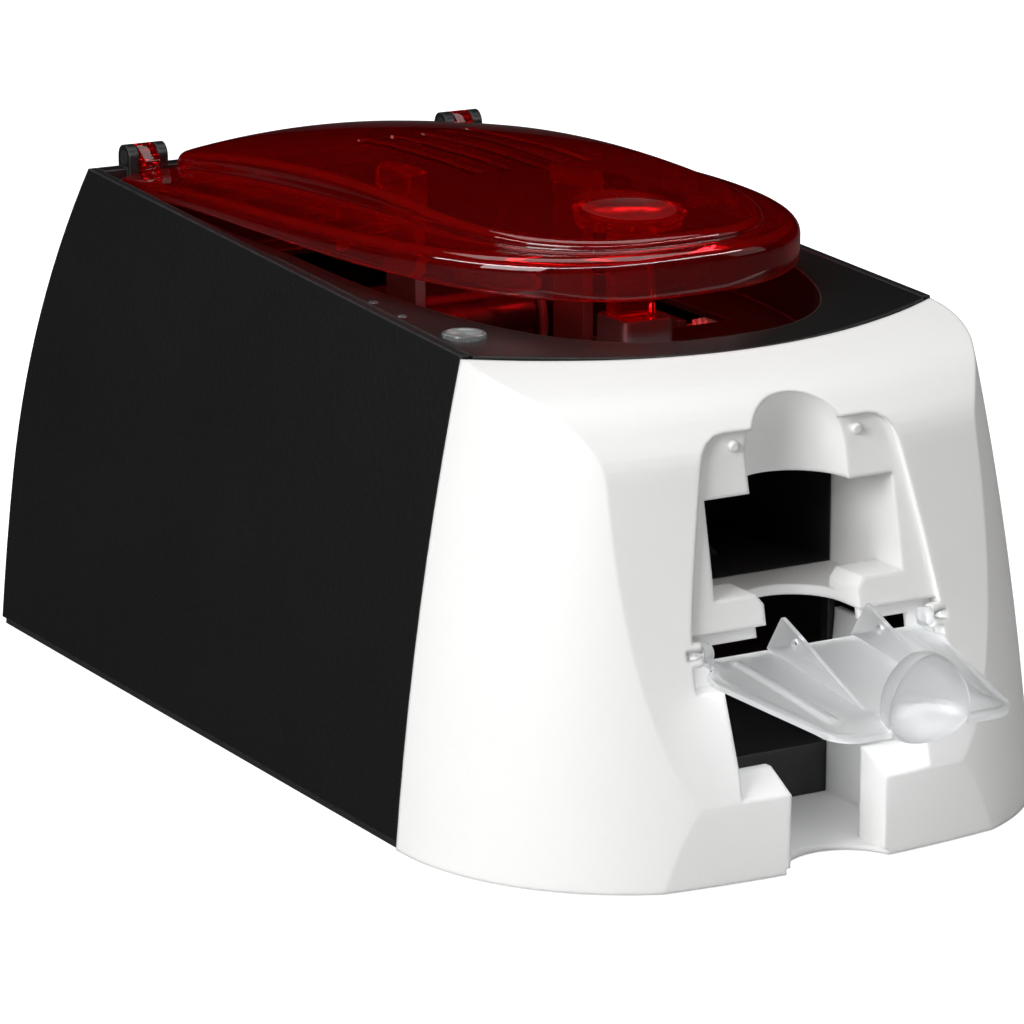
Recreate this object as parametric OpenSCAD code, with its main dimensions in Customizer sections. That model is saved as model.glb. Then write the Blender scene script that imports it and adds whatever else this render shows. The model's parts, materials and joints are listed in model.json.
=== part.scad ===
// Desktop card printer: bowed side panels, a moulded front with a feeder bay, an output bay
// and a folding loader flap, a see-through hinged lid, and the card path under it.
// The origin is on the ground, midway between the rear wall and the tip of the open flap.

/* [Card] */
// Width of a standard card, across the printer
card_w = 54; // [52:0.5:56]
// Length of a standard card, along the printer
card_l = 85.6; // [84:0.1:87]
// Thickness of a standard card
card_t = 0.8; // [0.6:0.05:1]
// Play beside the card, on each side of its channel
card_play = 0.6; // [0.3:0.1:0.9]
// Height of the surface that cards slide on
card_z = 63.6; // [62:0.2:65]

/* [Housing] */
// Distance from the origin back to the rear wall
rear_y = 169; // [165:1:175]
// Length of the housing at its foot
house_len = 300; // [296:1:306]
// Width of the housing at its foot
base_w = 177; // [174:1:182]
// Width of the housing at the shoulder
shoulder_w = 139; // [137:1:144]
// Height of the shoulder at the seam
seam_h = 124.3; // [122:0.2:127]
// Radius of the long bow of each side, seen from the front
side_bow_r = 900; // [800:10:1200]
// Length of the front moulding along the side
nose_len = 65; // [62:1:68]
// Rise of the roof towards the rear
roof_slope = 2.85; // [2:0.05:4]
// Radius of the roof where it falls to the front
nose_r = 112; // [100:1:130]
// Radius of the crest above the front face
crest_r = 26; // [18:1:30]
// Backward lean of the front face
face_lean = 12.6; // [10:0.2:14]
// Height of the upright band below the leaning face
foot_band = 21; // [18:1:24]
// Radius of the front face, seen from above
face_bow_r = 360; // [300:10:500]
// Distance from the middle to the axis of each rounded front corner
corner_x = 24.8; // [22:0.2:28]
// Radius of the lean of the rear wall
rear_bow_r = 215; // [190:5:260]
// Height at which the rear wall starts to lean
rear_break = 45; // [40:1:50]
// Wall of the housing panels
skin_t = 2.5; // [2:0.1:3]
// Gap between neighbouring panels
panel_gap = 0.35; // [0.3:0.05:0.5]
// Height of the lower edge of the front moulding
skirt_z = 0.8; // [0.8:0.1:1.2]
// Height of the lower edge of the side panels
side_z = 2.6; // [2.5:0.1:3.5]

/* [Base] */
// Thickness of the base tray
tray_t = 1.4; // [1.2:0.1:1.6]
// Radius of each rubber foot
foot_r = 7; // [6:0.5:9]

/* [Deck] */
// Thickness of the deck
deck_t = 2.5; // [2:0.1:3]
// How far the front edge of the deck bows forward
deck_bow = 19; // [16:0.5:20]
// Half width of the well under the lid
well_hw = 61; // [59:0.5:62]
// Distance from the well to the front edge of the deck
well_land = 9; // [8:0.5:11]
// Height of the floor of the well
well_z = 110; // [109.5:0.1:111]
// Thickness of the walls of the well
well_t = 1.8; // [1.5:0.1:2.2]

/* [Lid] */
// Thickness of the lid
lid_t = 2.2; // [2:0.1:2.6]
// Largest half width of the lid
lid_hw = 66; // [64:0.5:67]
// Half width of the lid at the hinge
lid_rear_hw = 63.8; // [62:0.2:64]
// Distance from the seam back to the tip of the lid
lid_tip = 4; // [3:0.5:7]
// Gap between the roof and the lower edge of the lid, halfway along
lid_lift = 5.2; // [4.6:0.1:6]
// Radius of the arch of that lower edge, seen from the side
edge_r = 1330; // [1200:10:1500]
// Height of the lid above the top of that arch
lid_h = 17.1; // [16:0.1:18]
// Height of the shoulder of the lid above the top of that arch
shoulder_up = 9.5; // [8.5:0.1:10.5]
// Radius of the shoulder of the lid, seen from the side
shoulder_r = 1300; // [1200:10:1500]
// Radius of the shoulder of the lid, seen from the front
shoulder_rx = 647; // [600:5:750]
// Half width of the raised middle of the lid
dome_hw = 44.6; // [42:0.2:46]
// Radius of the crown of the lid, seen from the side
crown_r = 663; // [620:5:750]
// Radius of the crown of the lid, seen from the front
crown_rx = 270; // [250:5:320]
// Diameter of the finger dimple
dimple_d = 25.5; // [23:0.5:28]
// Number of grooves in the lid
groove_n = 5; // [3:1:6]
// Spacing of the grooves
groove_pitch = 8.4; // [7.5:0.1:9]
// Height of the hinge axis of the lid
hinge_z = 137.6; // [137.4:0.1:138.6]
// Radius of the hinge pins of the lid
hinge_pin_r = 1.8; // [1.5:0.1:2]

/* [Front bays] */
// Height of the feeder bay above the card surface
bay_h = 29; // [27:0.5:30]
// Depth of the white part of the bays, from the seam forward
bay_back = 18; // [16:0.5:20]
// Depth of the recess round the flap
pocket_d = 4; // [3.8:0.1:4.6]
// Depth of the trough round the hinge of the flap
trough_d = 6.6; // [6.4:0.1:7.2]
// Half width of the recess at the hinge of the flap
recess_hw = 36.8; // [36.6:0.1:37.6]
// Half width of the recess at its top
recess_top_hw = 29; // [28.5:0.1:30]
// Radius of the finger scoop
scoop_r = 14.6; // [14.4:0.1:15.2]
// Half width of the finger notch
notch_hw = 13.8; // [13.7:0.1:14.4]
// Height of the stops in front of the cards
stop_h = 5; // [4:0.2:5.4]
// Height of the front cheeks of the output bay
cheek_h = 21; // [18:0.5:23]
// Half width of the gap between the cheeks
cheek_gap = 14; // [12:0.5:16]

/* [Flap] */
// Height of the hinge axis of the flap
flap_z = 57; // [56.8:0.1:57.4]
// Distance from the front of the foot back to that axis
flap_in = 11.5; // [11.4:0.1:11.8]
// Length of the flap from its axis
flap_len = 49.5; // [48:0.5:50]
// Thickness of the flap
flap_t = 1.8; // [1.5:0.1:2]
// Half width of the flap near its hinge
flap_hw = 36; // [35.4:0.1:36.1]
// Half width of the flap near its tip
flap_tip_hw = 27; // [26:0.2:27.6]
// Angle of the open flap below level
flap_drop = 6.5; // [5:0.5:8]
// Radius of the finger cup
cup_r = 12; // [11:0.2:12.2]
// Radius of the pins of the flap
flap_pin_r = 1.7; // [1.5:0.1:1.8]
// Distance of the card stop fins from the middle
fin_x = 12.4; // [12:0.1:12.8]
// Thickness of the fins
fin_t = 1.2; // [1:0.1:1.4]

/* [Controls] */
// Radius of the control button
button_r = 5.5; // [5:0.1:6]
// Travel of the control button
button_travel = 1.2; // [1:0.1:1.5]
// Radius of the status lights
light_r = 1.3; // [1:0.1:1.6]

/* [Card path] */
// Inside distance from the middle to each chassis plate
plate_x = 36; // [35:0.5:36.5]
// Thickness of the chassis plates
plate_t = 2.5; // [2:0.1:3]
// Radius of the platen roller
platen_r = 8; // [7.5:0.1:8.4]
// Radius of the pick roller
pick_r = 9; // [8.5:0.1:9.4]
// Radius of the feed roller
feed_r = 6; // [5.5:0.1:6.4]
// Radius of the roller shafts
shaft_r = 3; // [2.5:0.1:3.2]
// Distance from the seam back to the platen roller
platen_in = 106; // [104:1:108]
// Height of the ribbon spools above the card surface
spool_up = 32.4; // [31:0.2:33]
// Radius of the full supply roll
supply_r = 13; // [11:0.5:13.5]
// Radius of the take-up roll
takeup_r = 9; // [8:0.5:10]

/* [Gears] */
// Tooth module of the drive gears
gear_m = 1; // [0.98:0.01:1.02]
// Width of the drive gears
gear_w = 4.5; // [4:0.1:5]
// Play between the teeth
backlash = 0.16; // [0.12:0.02:0.24]
// Running clearance of shafts and pins, on the radius
run_gap = 0.05; // [0.03:0.01:0.08]

/* [Hidden] */

front_y = rear_y - house_len;
seam_y = front_y + nose_len;
corner_y = seam_y - 2.7;
tray_top = skirt_z + tray_t;
ch = card_w / 2 + card_play;
over = 0.01;
tall = 170;

// Centre of a circle of radius r through a and b, on the side towards the axis
function arc_centre(a, b, r) =
  let (d = b - a, l = norm(d), m = (a + b) / 2, h = sqrt(r * r - l * l / 4))
  m + h * [-d[1], d[0]] / l;
side_c = arc_centre([base_w / 2, 0], [shoulder_w / 2, seam_h], side_bow_r);
function side_x(z, t = 0) = side_c[0] + sqrt(pow(side_bow_r - t, 2) - pow(z - side_c[1], 2));
function roof_z(y) = seam_h + (y - seam_y) * tan(roof_slope);
function face_y(z) = front_y + max(0, z - foot_band) * tan(face_lean);
nose_c = [seam_y + nose_r * sin(roof_slope), seam_h - nose_r * cos(roof_slope)];
function nose_z(y) = nose_c[1] + sqrt(nose_r * nose_r - pow(y - nose_c[0], 2));

// Crest circle: touches the leaning face and the roof circle from inside
lean_dir = [sin(face_lean), cos(face_lean)];
lean_in = [cos(face_lean), -sin(face_lean)];
crest_o = [front_y, foot_band] + crest_r * lean_in - nose_c;
crest_s = -(crest_o * lean_dir)
  + sqrt(pow(crest_o * lean_dir, 2) - crest_o * crest_o + pow(nose_r - crest_r, 2));
crest_c = nose_c + crest_o + crest_s * lean_dir;
crest_a = crest_c - crest_r * lean_in;
crest_b = nose_c + nose_r * (crest_c - nose_c) / norm(crest_c - nose_c);

// Deck
deck_front = seam_y - deck_bow;
deck_r = (pow(shoulder_w / 2, 2) + deck_bow * deck_bow) / (2 * deck_bow);
well_c = seam_y + 136;
well_tip = deck_front + well_land;
well_rear = rear_y - 34;
open_y0 = seam_y + 48;
open_y1 = open_y0 + 140;
open_hw = 40;

// Lid
hinge_y = rear_y - 22;
lid_rear = hinge_y - 4.2;
lid_front = seam_y + lid_tip;
lid_c = seam_y + 126;
arch_y = seam_y + 101;
arch_z = roof_z(arch_y) + lid_lift;
lid_top = arch_z + lid_h;
crown_y = seam_y + 99;
shoulder_y = seam_y + 66;
rib_y = [seam_y + 78, seam_y + 106, seam_y + 146, seam_y + 190];
rib_x = lid_rear_hw - 3;
dimple_y = seam_y + 35;
ledge_z = edge_z(lid_rear) - 0.7;
ledge_y = lid_rear + 2;
knuckle_r = hinge_pin_r + 1.8;
ear_x = 48;
arm_z = shoulder_z(ear_x, lid_rear) - 0.7;

// Front bays and flap
bay_y = seam_y - bay_back;
bay_top = card_z + bay_h;
bay_floor = card_z - 2.6;
flap_y = front_y + flap_in;
recess_z0 = flap_z - 9;
recess_z1 = flap_z + 44;
recess_top = flap_z + 51;
scoop_y = flap_y + 10.1;
scoop_z = recess_z1 + 0.4;
flap_d = 2;
flap_range = 90 + face_lean + flap_drop;
function recess_w(z) = recess_hw
  - (recess_hw - recess_top_hw) * pow(max(0, z - flap_z) / (recess_z1 - flap_z), 1.2);
function flap_w(u) = flap_hw - (flap_hw - flap_tip_hw) * u / (flap_len - 7.5);

// Card path, as [y, z]
gate_y = bay_y + 51;
pick_c = [bay_y + 29, card_z + 0.5 - pick_r];
feed_c = [gate_y + 17, card_z - feed_r];
pinch_r = 5;
pinch_c = [feed_c[0], card_z + card_t + pinch_r];
clean_r = 5.5;
clean_c = [feed_c[0] + 22, card_z + card_t + 0.1 + clean_r];
platen_c = [seam_y + platen_in, card_z - platen_r];
takeup_c = [platen_c[0] - 42, card_z + spool_up];
supply_c = [platen_c[0] + 36, card_z + spool_up];
head_z = card_z + card_t + 0.8;
pad_z = lid_top - 13;
plate_y0 = bay_y + 1;
plate_y1 = plate_y0 + 213;
plate_z1 = well_z - 2;
journal_r = 4;
flange_r = 14.5;
stud_r = 2.5;
fit = 0.02;
rod_a = [platen_c[0] - 15, card_z + 5.4];
rod_b = [platen_c[0] + 15, card_z + 5.4];

// Drive gears: teeth, centre and phase
gear_x = plate_x + plate_t + 3;
t_pin = 12;
t_mid = 19;
t_plt = 26;
t_fid = 33;
t_fed = 20;
t_pid = 20;
t_pck = 20;
t_tid = 14;
t_tak = 24;
motor_c = [platen_c[0] + 24, 27];
motor_w = 35;

function pitch(t) = gear_m * t / 2;
// Point at distance ra from a and rb from b, on the chosen side of the line between them
function third(a, b, ra, rb, s) =
  let (d = b - a, l = norm(d), u = (ra * ra - rb * rb + l * l) / (2 * l),
       h = sqrt(max(0, ra * ra - u * u)))
  a + u * d / l + s * h * [-d[1], d[0]] / l;
mid_c = third(motor_c, platen_c, pitch(t_pin + t_mid), pitch(t_mid + t_plt), 1);
fid_c = third(platen_c, feed_c, pitch(t_plt + t_fid), pitch(t_fid + t_fed), -1);
pid_c = third(feed_c, pick_c, pitch(t_fed + t_pid), pitch(t_pid + t_pck), 1);
tid_c = third(fid_c, takeup_c, pitch(t_fid + t_tid), pitch(t_tid + t_tak), 1);

function bearing(a, b) = atan2(b[1] - a[1], b[0] - a[0]);
// Phase of a gear b that meshes with gear a
function mesh(ta, tb, ca, cb, pa) =
  let (q = bearing(ca, cb)) q + 180 - (180 - ta * (q - pa)) / tb;
ph_plt = 0;
ph_mid = mesh(t_plt, t_mid, platen_c, mid_c, ph_plt);
ph_pin = mesh(t_mid, t_pin, mid_c, motor_c, ph_mid);
ph_fid = mesh(t_plt, t_fid, platen_c, fid_c, ph_plt);
ph_fed = mesh(t_fid, t_fed, fid_c, feed_c, ph_fid);
ph_pid = mesh(t_fed, t_pid, feed_c, pid_c, ph_fed);
ph_pck = mesh(t_pid, t_pck, pid_c, pick_c, ph_pid);
ph_tid = mesh(t_fid, t_tid, fid_c, tid_c, ph_fid);
ph_tak = mesh(t_tid, t_tak, tid_c, takeup_c, ph_tid);

// Rear sockets
board_z = 8;
board_t = 1.6;
usb_x = -30;
jack_x = 22;

// Controls, as [x, y]
button_p = [-59.5, seam_y + 16];
light_p = [[-64.4, seam_y + 54], [-64.3, seam_y + 39]];
cboard_z = 112;
cboard_posts = [[-64.8, seam_y + 46.5], [-54.5, seam_y + 8]];

// ---------- Building blocks ----------

// A drawing in Y and Z, drawn out along X from x0 to x1
module along_x(x0, x1) {
  translate([x0, 0, 0]) rotate([90, 0, 90]) linear_extrude(x1 - x0) children();
}
// A drawing in X and Z, drawn out along Y from y0 to y1
module along_y(y0, y1) {
  translate([0, y1, 0]) rotate([90, 0, 0]) linear_extrude(y1 - y0) children();
}
// A round bar along X at c = [y, z]
module bar_x(c, r, x0, x1) {
  translate([x0, c[0], c[1]]) rotate([0, 90, 0]) cylinder(r = r, h = x1 - x0, $fn = 64);
}
// A box given by two corners
module box(a, b) {
  translate(a) cube(b - a);
}
module both_sides() {
  children();
  mirror([1, 0, 0]) children();
}

// Section across the housing, seen from the front
module cross_section(t) {
  intersection() {
    translate(side_c) circle(r = side_bow_r - t, $fn = 720);
    translate([-side_c[0], side_c[1]]) circle(r = side_bow_r - t, $fn = 720);
    translate([-base_w, -1]) square([2 * base_w, tall]);
  }
}
// Section along the housing, seen from the side
module long_section(t) {
  intersection() {
    union() {
      translate([front_y - 5, -1]) square([house_len + 5 - t, rear_break + 1]);
      translate([rear_y - rear_bow_r, rear_break]) circle(r = rear_bow_r - t, $fn = 720);
    }
    union() {
      polygon([
        [seam_y, -1], [rear_y + 5, -1],
        [rear_y + 5, roof_z(rear_y + 5) - t / cos(roof_slope)],
        [seam_y, seam_h - t / cos(roof_slope)]
      ]);
      intersection() {
        translate(nose_c) circle(r = nose_r - t, $fn = 720);
        translate([front_y - 5, -1]) square([nose_len + 5, tall]);
      }
    }
  }
}
module hull_core(t) {
  intersection() {
    along_y(front_y - 5, rear_y + 5) cross_section(t);
    along_x(-base_w, base_w) long_section(t);
  }
}
// Front moulding before its face is cut: straight sides, then rounded corners
module nose_plan(t) {
  along_y(corner_y, seam_y) cross_section(t);
  box([-corner_x, front_y - 5, -1], [corner_x, corner_y, tall]);
  for (s = [-1, 1])
    translate([s * corner_x, corner_y, 0])
      rotate_extrude(start = s > 0 ? 270 : 180, angle = 90, $fn = 240) intersection() {
        translate([side_c[0] - corner_x, side_c[1]]) circle(r = side_bow_r - t, $fn = 720);
        translate([0, -1]) square([base_w, tall]);
      }
}
// Points of an arc about c, from angle a0 to a1
function arc(c, r, a0, a1, n) = [for (i = [0 : n]) let (a = a0 + (a1 - a0) * i / n) c + r * [cos(a), sin(a)]];
// Bowed and leaning front face, its crest and the fall of the roof, as one turned form
module face_form(t) {
  axis_y = front_y + face_bow_r;
  mid_a = atan2(crest_c[1] - nose_c[1], crest_c[0] - nose_c[0]);
  outline = concat(
    [[axis_y, -1], [front_y + t, -1], [front_y + t, foot_band]],
    arc(crest_c, crest_r - t, 180 - face_lean, mid_a, 10),
    arc(nose_c, nose_r - t, mid_a - 1, 90 + roof_slope, 6),
    [[axis_y, roof_z(axis_y) - t]]
  );
  translate([0, axis_y, 0]) rotate_extrude($fn = 720)
    polygon([for (p = outline) [axis_y - p[0], p[1]]]);
}
module nose_form(t) {
  intersection() {
    nose_plan(t);
    face_form(t);
  }
}
// The region covered by the deck, seen from above
module deck_region(g) {
  intersection() {
    translate([0, deck_front + deck_r, 0]) cylinder(r = deck_r - g, h = tall, $fn = 360);
    box([-base_w, deck_front - 1, 0], [base_w, seam_y + 30, tall]);
  }
  box([-base_w, seam_y + g, 0], [base_w, rear_y + 5, tall]);
}
// Front-to-back outline of an egg shape: half width hw at yc, tip at y0, narrowed to hr at y1
function egg(hw, yc, y0, y1, hr, n, steps) = concat(
  [[hr, y1]],
  [for (i = [0 : steps]) let (a = 90 * i / steps)
    [hw * pow(cos(a), 2 / n), yc - (yc - y0) * pow(sin(a), 2 / n)]],
  [for (i = [steps - 1 : -1 : 0]) let (a = 90 * i / steps)
    [-hw * pow(cos(a), 2 / n), yc - (yc - y0) * pow(sin(a), 2 / n)]],
  [[-hr, y1]]
);
module well_outline(g) {
  polygon(egg(well_hw + g, well_c, well_tip - g, well_rear + g, well_hw - 3 + g, 2.9, 20));
}
module lid_outline(g) {
  polygon(egg(lid_hw - g, lid_c, lid_front + g, lid_rear - g, lid_rear_hw - g, 2.6, 24));
}
module dome_outline(g) {
  polygon(egg(dome_hw - g, arch_y - 30, lid_front + 5 + g, lid_rear - g, dome_hw + 2.4 - g, 2.5, 24));
}

// Spur gear about X at c, with its teeth from x0 to x1 and a bore of radius rb
function inv(a) = tan(a) * 180 / PI - a;
function tooth_half(r, rbase, t) =
  90 / t - backlash / gear_m / t * 90 / PI + inv(25) - inv(acos(min(1, rbase / r)));
function gear_points(t) =
  let (rp = pitch(t), rbase = rp * cos(25), ro = rp + 0.85 * gear_m, rr = rp - 1.12 * gear_m,
       rs = max(rbase, rr), f = [rr, rs + 0.15 * (ro - rs), rs + 0.55 * (ro - rs), ro])
  [for (i = [0 : t - 1]) let (a = 360 * i / t) each concat(
    [for (k = [0 : 3]) let (h = a - tooth_half(max(f[k], rs), rbase, t)) f[k] * [cos(h), sin(h)]],
    [for (k = [3 : -1 : 0]) let (h = a + tooth_half(max(f[k], rs), rbase, t)) f[k] * [cos(h), sin(h)]]
  )];
module gear(t, c, phase, rb, web = true) {
  difference() {
    union() {
      along_x(gear_x, gear_x + gear_w)
        translate(c) rotate(phase) polygon(gear_points(t));
      bar_x(c, rb + 1.8, gear_x - 2.6, gear_x + gear_w);
    }
    bar_x(c, rb, gear_x - 5, gear_x + gear_w + 1);
    if (web)
      translate([gear_x + gear_w - 1.4, c[0], c[1]]) rotate([0, 90, 0]) difference() {
        cylinder(r = pitch(t) - 3.2 * gear_m, h = 5, $fn = 64);
        translate([0, 0, -1]) cylinder(r = rb + 1.8, h = 7, $fn = 64);
      }
  }
}

// ---------- Housing ----------

module side_panel() {
  difference() {
    union() {
      intersection() {
        difference() {
          hull_core(0);
          hull_core(skin_t);
        }
        box([0, seam_y, side_z], [base_w, rear_y + 5, tall]);
        along_x(0, base_w) long_section(0);
        along_y(seam_y, rear_y + 5) difference() {
          cross_section(0);
          cross_section(skin_t);
        }
      }
      // Screw bosses at the rear, each on a rib from the wall
      for (z = [16, 38]) {
        translate([72, rear_y - skin_t - panel_gap, z]) rotate([90, 0, 0])
          cylinder(r = 4, h = 11, $fn = 48);
        box([72, rear_y - skin_t - panel_gap - 11, z - 1],
          [side_x(z, skin_t) + 0.8, rear_y - skin_t - panel_gap, z + 1]);
      }
    }
    for (z = [16, 38])
      translate([72, rear_y, z]) rotate([90, 0, 0]) cylinder(r = 1.3, h = 20, $fn = 32);
  }
}
module left_side_panel() color([0.11, 0.11, 0.12]) mirror([1, 0, 0]) side_panel();
module right_side_panel() color([0.11, 0.11, 0.12]) side_panel();

module rear_panel() color([0.12, 0.12, 0.13]) difference() {
  intersection() {
    along_x(-base_w, base_w) difference() {
      long_section(0);
      translate([-skin_t, 0]) intersection() {
        long_section(0);
        translate([rear_y - 60, -1]) square([80, tall]);
      }
      translate([front_y - 10, -5]) square([house_len + 10 - 60, tall + 10]);
    }
    along_y(rear_y - 60, rear_y + 5) cross_section(skin_t + panel_gap);
    along_x(-base_w, base_w) translate([rear_y - 60, side_z])
      square([70, roof_z(rear_y - 20) - deck_t - panel_gap - side_z - 0.8]);
  }
  // Openings for the sockets
  box([usb_x - 6.4, rear_y - 5, board_z + board_t - 0.4], [usb_x + 6.4, rear_y + 1, board_z + board_t + 11.4]);
  translate([jack_x, rear_y - 5, board_z + board_t + 5.5]) rotate([-90, 0, 0])
    cylinder(r = 5, h = 8, $fn = 48);
  // Cooling slots
  for (i = [0 : 8])
    box([-44 + 10 * i, rear_y - 12, 52], [-40 + 10 * i, rear_y + 1, 76]);
  for (s = [-1, 1], z = [16, 38])
    translate([s * 72, rear_y + 1, z]) rotate([90, 0, 0]) cylinder(r = 1.7, h = 8, $fn = 32);
}

module base_tray() color([0.1, 0.1, 0.11]) difference() {
  union() {
    intersection() {
      along_y(seam_y + panel_gap, rear_y - 1) cross_section(0.8);
      box([-base_w, seam_y, skirt_z], [base_w, rear_y, tray_top]);
    }
    box([-base_w / 2 + skin_t + 3, bay_y + panel_gap, skirt_z],
      [base_w / 2 - skin_t - 3, seam_y + 1, tray_top]);
    // Pillars under the main board
    for (x = [-62, 62], y = [rear_y - 27, rear_y - 11])
      translate([x, y, tray_top - over]) cylinder(r = 3.2, h = board_z - tray_top + over, $fn = 32);
  }
  for (p = foot_points())
    translate([p[0], p[1], 0]) cylinder(r = 3.05, h = 5, $fn = 48);
}
function foot_points() = [
  [base_w / 2 - 18, rear_y - 22], [-base_w / 2 + 18, rear_y - 22],
  [base_w / 2 - 18, seam_y + 16], [-base_w / 2 + 18, seam_y + 16]
];
module rubber_feet() color([0.05, 0.05, 0.05]) for (p = foot_points()) translate([p[0], p[1], 0]) {
  cylinder(r = foot_r, h = skirt_z, $fn = 48);
  cylinder(r = 3, h = tray_top, $fn = 48);
}
module screws() color("silver") for (s = [-1, 1], z = [16, 38])
  translate([s * 72, rear_y, z]) rotate([-90, 0, 0]) {
    cylinder(r = 3, h = 1.6, $fn = 48);
    translate([0, 0, -10]) cylinder(r = 1.25, h = 10 + over, $fn = 32);
  }

// ---------- Front moulding ----------

function recess_side(g) = concat(
  [[recess_w(recess_z0) + g, recess_z0 - g]],
  [for (i = [0 : 8]) let (z = flap_z + (recess_z1 - flap_z) * i / 8) [recess_w(z) + g, z]],
  [for (a = [10 : 20 : 90])
    [recess_top_hw - 8 + (8 + g) * cos(a), recess_top - 8 + (8 + g) * sin(a)]]
);
module recess_outline(g) {
  r = recess_side(g);
  polygon(concat(r, [for (i = [len(r) - 1 : -1 : 0]) [-r[i][0], r[i][1]]]));
}
// Slab parallel to the leaning face, from depth d0 to depth d1
module slant(d0, d1, z0, z1) {
  along_x(-60, 60) polygon([
    [face_y(z0) + d0, z0], [face_y(z0) + d1, z0], [face_y(z1) + d1, z1], [face_y(z1) + d0, z1]
  ]);
}
module scoop(g, z0) {
  translate([0, scoop_y, z0]) cylinder(r = scoop_r + g, h = scoop_z - z0, $fn = 96);
  translate([0, scoop_y, scoop_z]) sphere(r = scoop_r + g, $fn = 96);
}
// Output bay mouth, seen from the front
module output_mouth() {
  polygon([
    [-ch, tray_top + 0.1], [ch, tray_top + 0.1], [ch, recess_z0 - 20],
    [ch + 1.8, recess_z0 + 1], [ch + 1.8, flap_z + 0.6],
    [notch_hw + 1.5, flap_z + 0.6], [notch_hw + 1.5, bay_floor],
    [-notch_hw - 1.5, bay_floor], [-notch_hw - 1.5, flap_z + 0.6],
    [-ch - 1.8, flap_z + 0.6], [-ch - 1.8, recess_z0 + 1], [-ch, recess_z0 - 20]
  ]);
}
module front_panel() color([0.95, 0.95, 0.94]) {
  difference() {
    union() {
      // Moulded skin
      difference() {
        nose_form(0);
        nose_form(skin_t);
        box([-base_w, front_y - 5, -2], [base_w, seam_y + 1, skirt_z]);
        translate([0, 0, 100]) deck_region(0);
      }
      intersection() {
        nose_form(skin_t / 2);
        union() {
          // Tray of the recess and the shell of the finger scoop
          intersection() {
            along_y(front_y - 5, bay_y) recess_outline(2);
            union() {
              slant(-1, pocket_d + 2.2, recess_z0 - 2, recess_top + 2);
              slant(-1, trough_d + 2.2, recess_z0 - 2, bay_floor + 1);
            }
          }
          scoop(2.2, bay_top);
          // Sleeves of the feeder bay and of the output bay
          box([-ch - 2, flap_y, bay_floor], [ch + 2, bay_y, bay_top + 2.4]);
          box([-ch - 3.8, front_y, skirt_z], [ch + 3.8, bay_y, recess_z0 + 3]);
        }
      }
    }
    difference() {
      union() {
        // Recess
        intersection() {
          along_y(front_y - 5, bay_y) recess_outline(0);
          union() {
            slant(-9, pocket_d, recess_z0 - 3, recess_top + 3);
            slant(-9, trough_d, recess_z0 - 3, bay_floor);
          }
        }
        // Feeder bay with its finger notch and scoop
        box([-ch, front_y - 5, card_z], [ch, bay_y + 1, bay_top]);
        box([-notch_hw, front_y - 5, bay_floor - 1], [notch_hw, flap_y + 9.6, bay_top - 1]);
        translate([0, flap_y + 9.6, bay_floor - 1]) cylinder(r = notch_hw, h = 6, $fn = 96);
        scoop(0, bay_top - 1.5);
        // Output bay
        along_y(front_y - 5, bay_y + 1) output_mouth();
      }
      both_sides() {
        // Stop in front of the cards, level with the recess, with its inner corner sloped
        intersection() {
          along_y(front_y, flap_y + 15.5) polygon([
            [notch_hw, bay_floor], [ch + 1, bay_floor], [ch + 1, card_z + stop_h],
            [notch_hw + 2, card_z + stop_h], [notch_hw, card_z + stop_h - 2.5]
          ]);
          slant(pocket_d, pocket_d + 30, bay_floor - 1, card_z + stop_h + 1);
        }
        // Cheek of the output bay
        along_x(cheek_gap, ch + 1) polygon([
          [front_y - 6, skirt_z - 1], [front_y - 6, cheek_h], [front_y, cheek_h],
          [front_y + 9.5, cheek_h + 5], [front_y + 12, cheek_h + 5], [front_y + 12, skirt_z - 1]
        ]);
        // Boss for the pin of the flap
        bar_x([flap_y, flap_z], flap_pin_r + 1.4, recess_hw - 2.8, recess_hw + 1.9);
      }
    }
    // Bores for the pins of the flap
    bar_x([flap_y, flap_z], flap_pin_r + 0.06, -recess_hw - 1.4, recess_hw + 1.4);
    // Scooped front edge of the floor
    translate([0, front_y - 5, 0]) cylinder(r = cheek_gap + 2, h = tray_top + 0.2, $fn = 96);
  }
  // Catch nubs for the closed flap
  both_sides() translate([recess_top_hw - 11, face_y(recess_top - 3) + pocket_d, recess_top - 3.2])
    rotate([90 + face_lean, 0, 0]) cylinder(r = 1.3, h = 1.8, $fn = 32);
}

// ---------- Loader flap ----------

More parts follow.
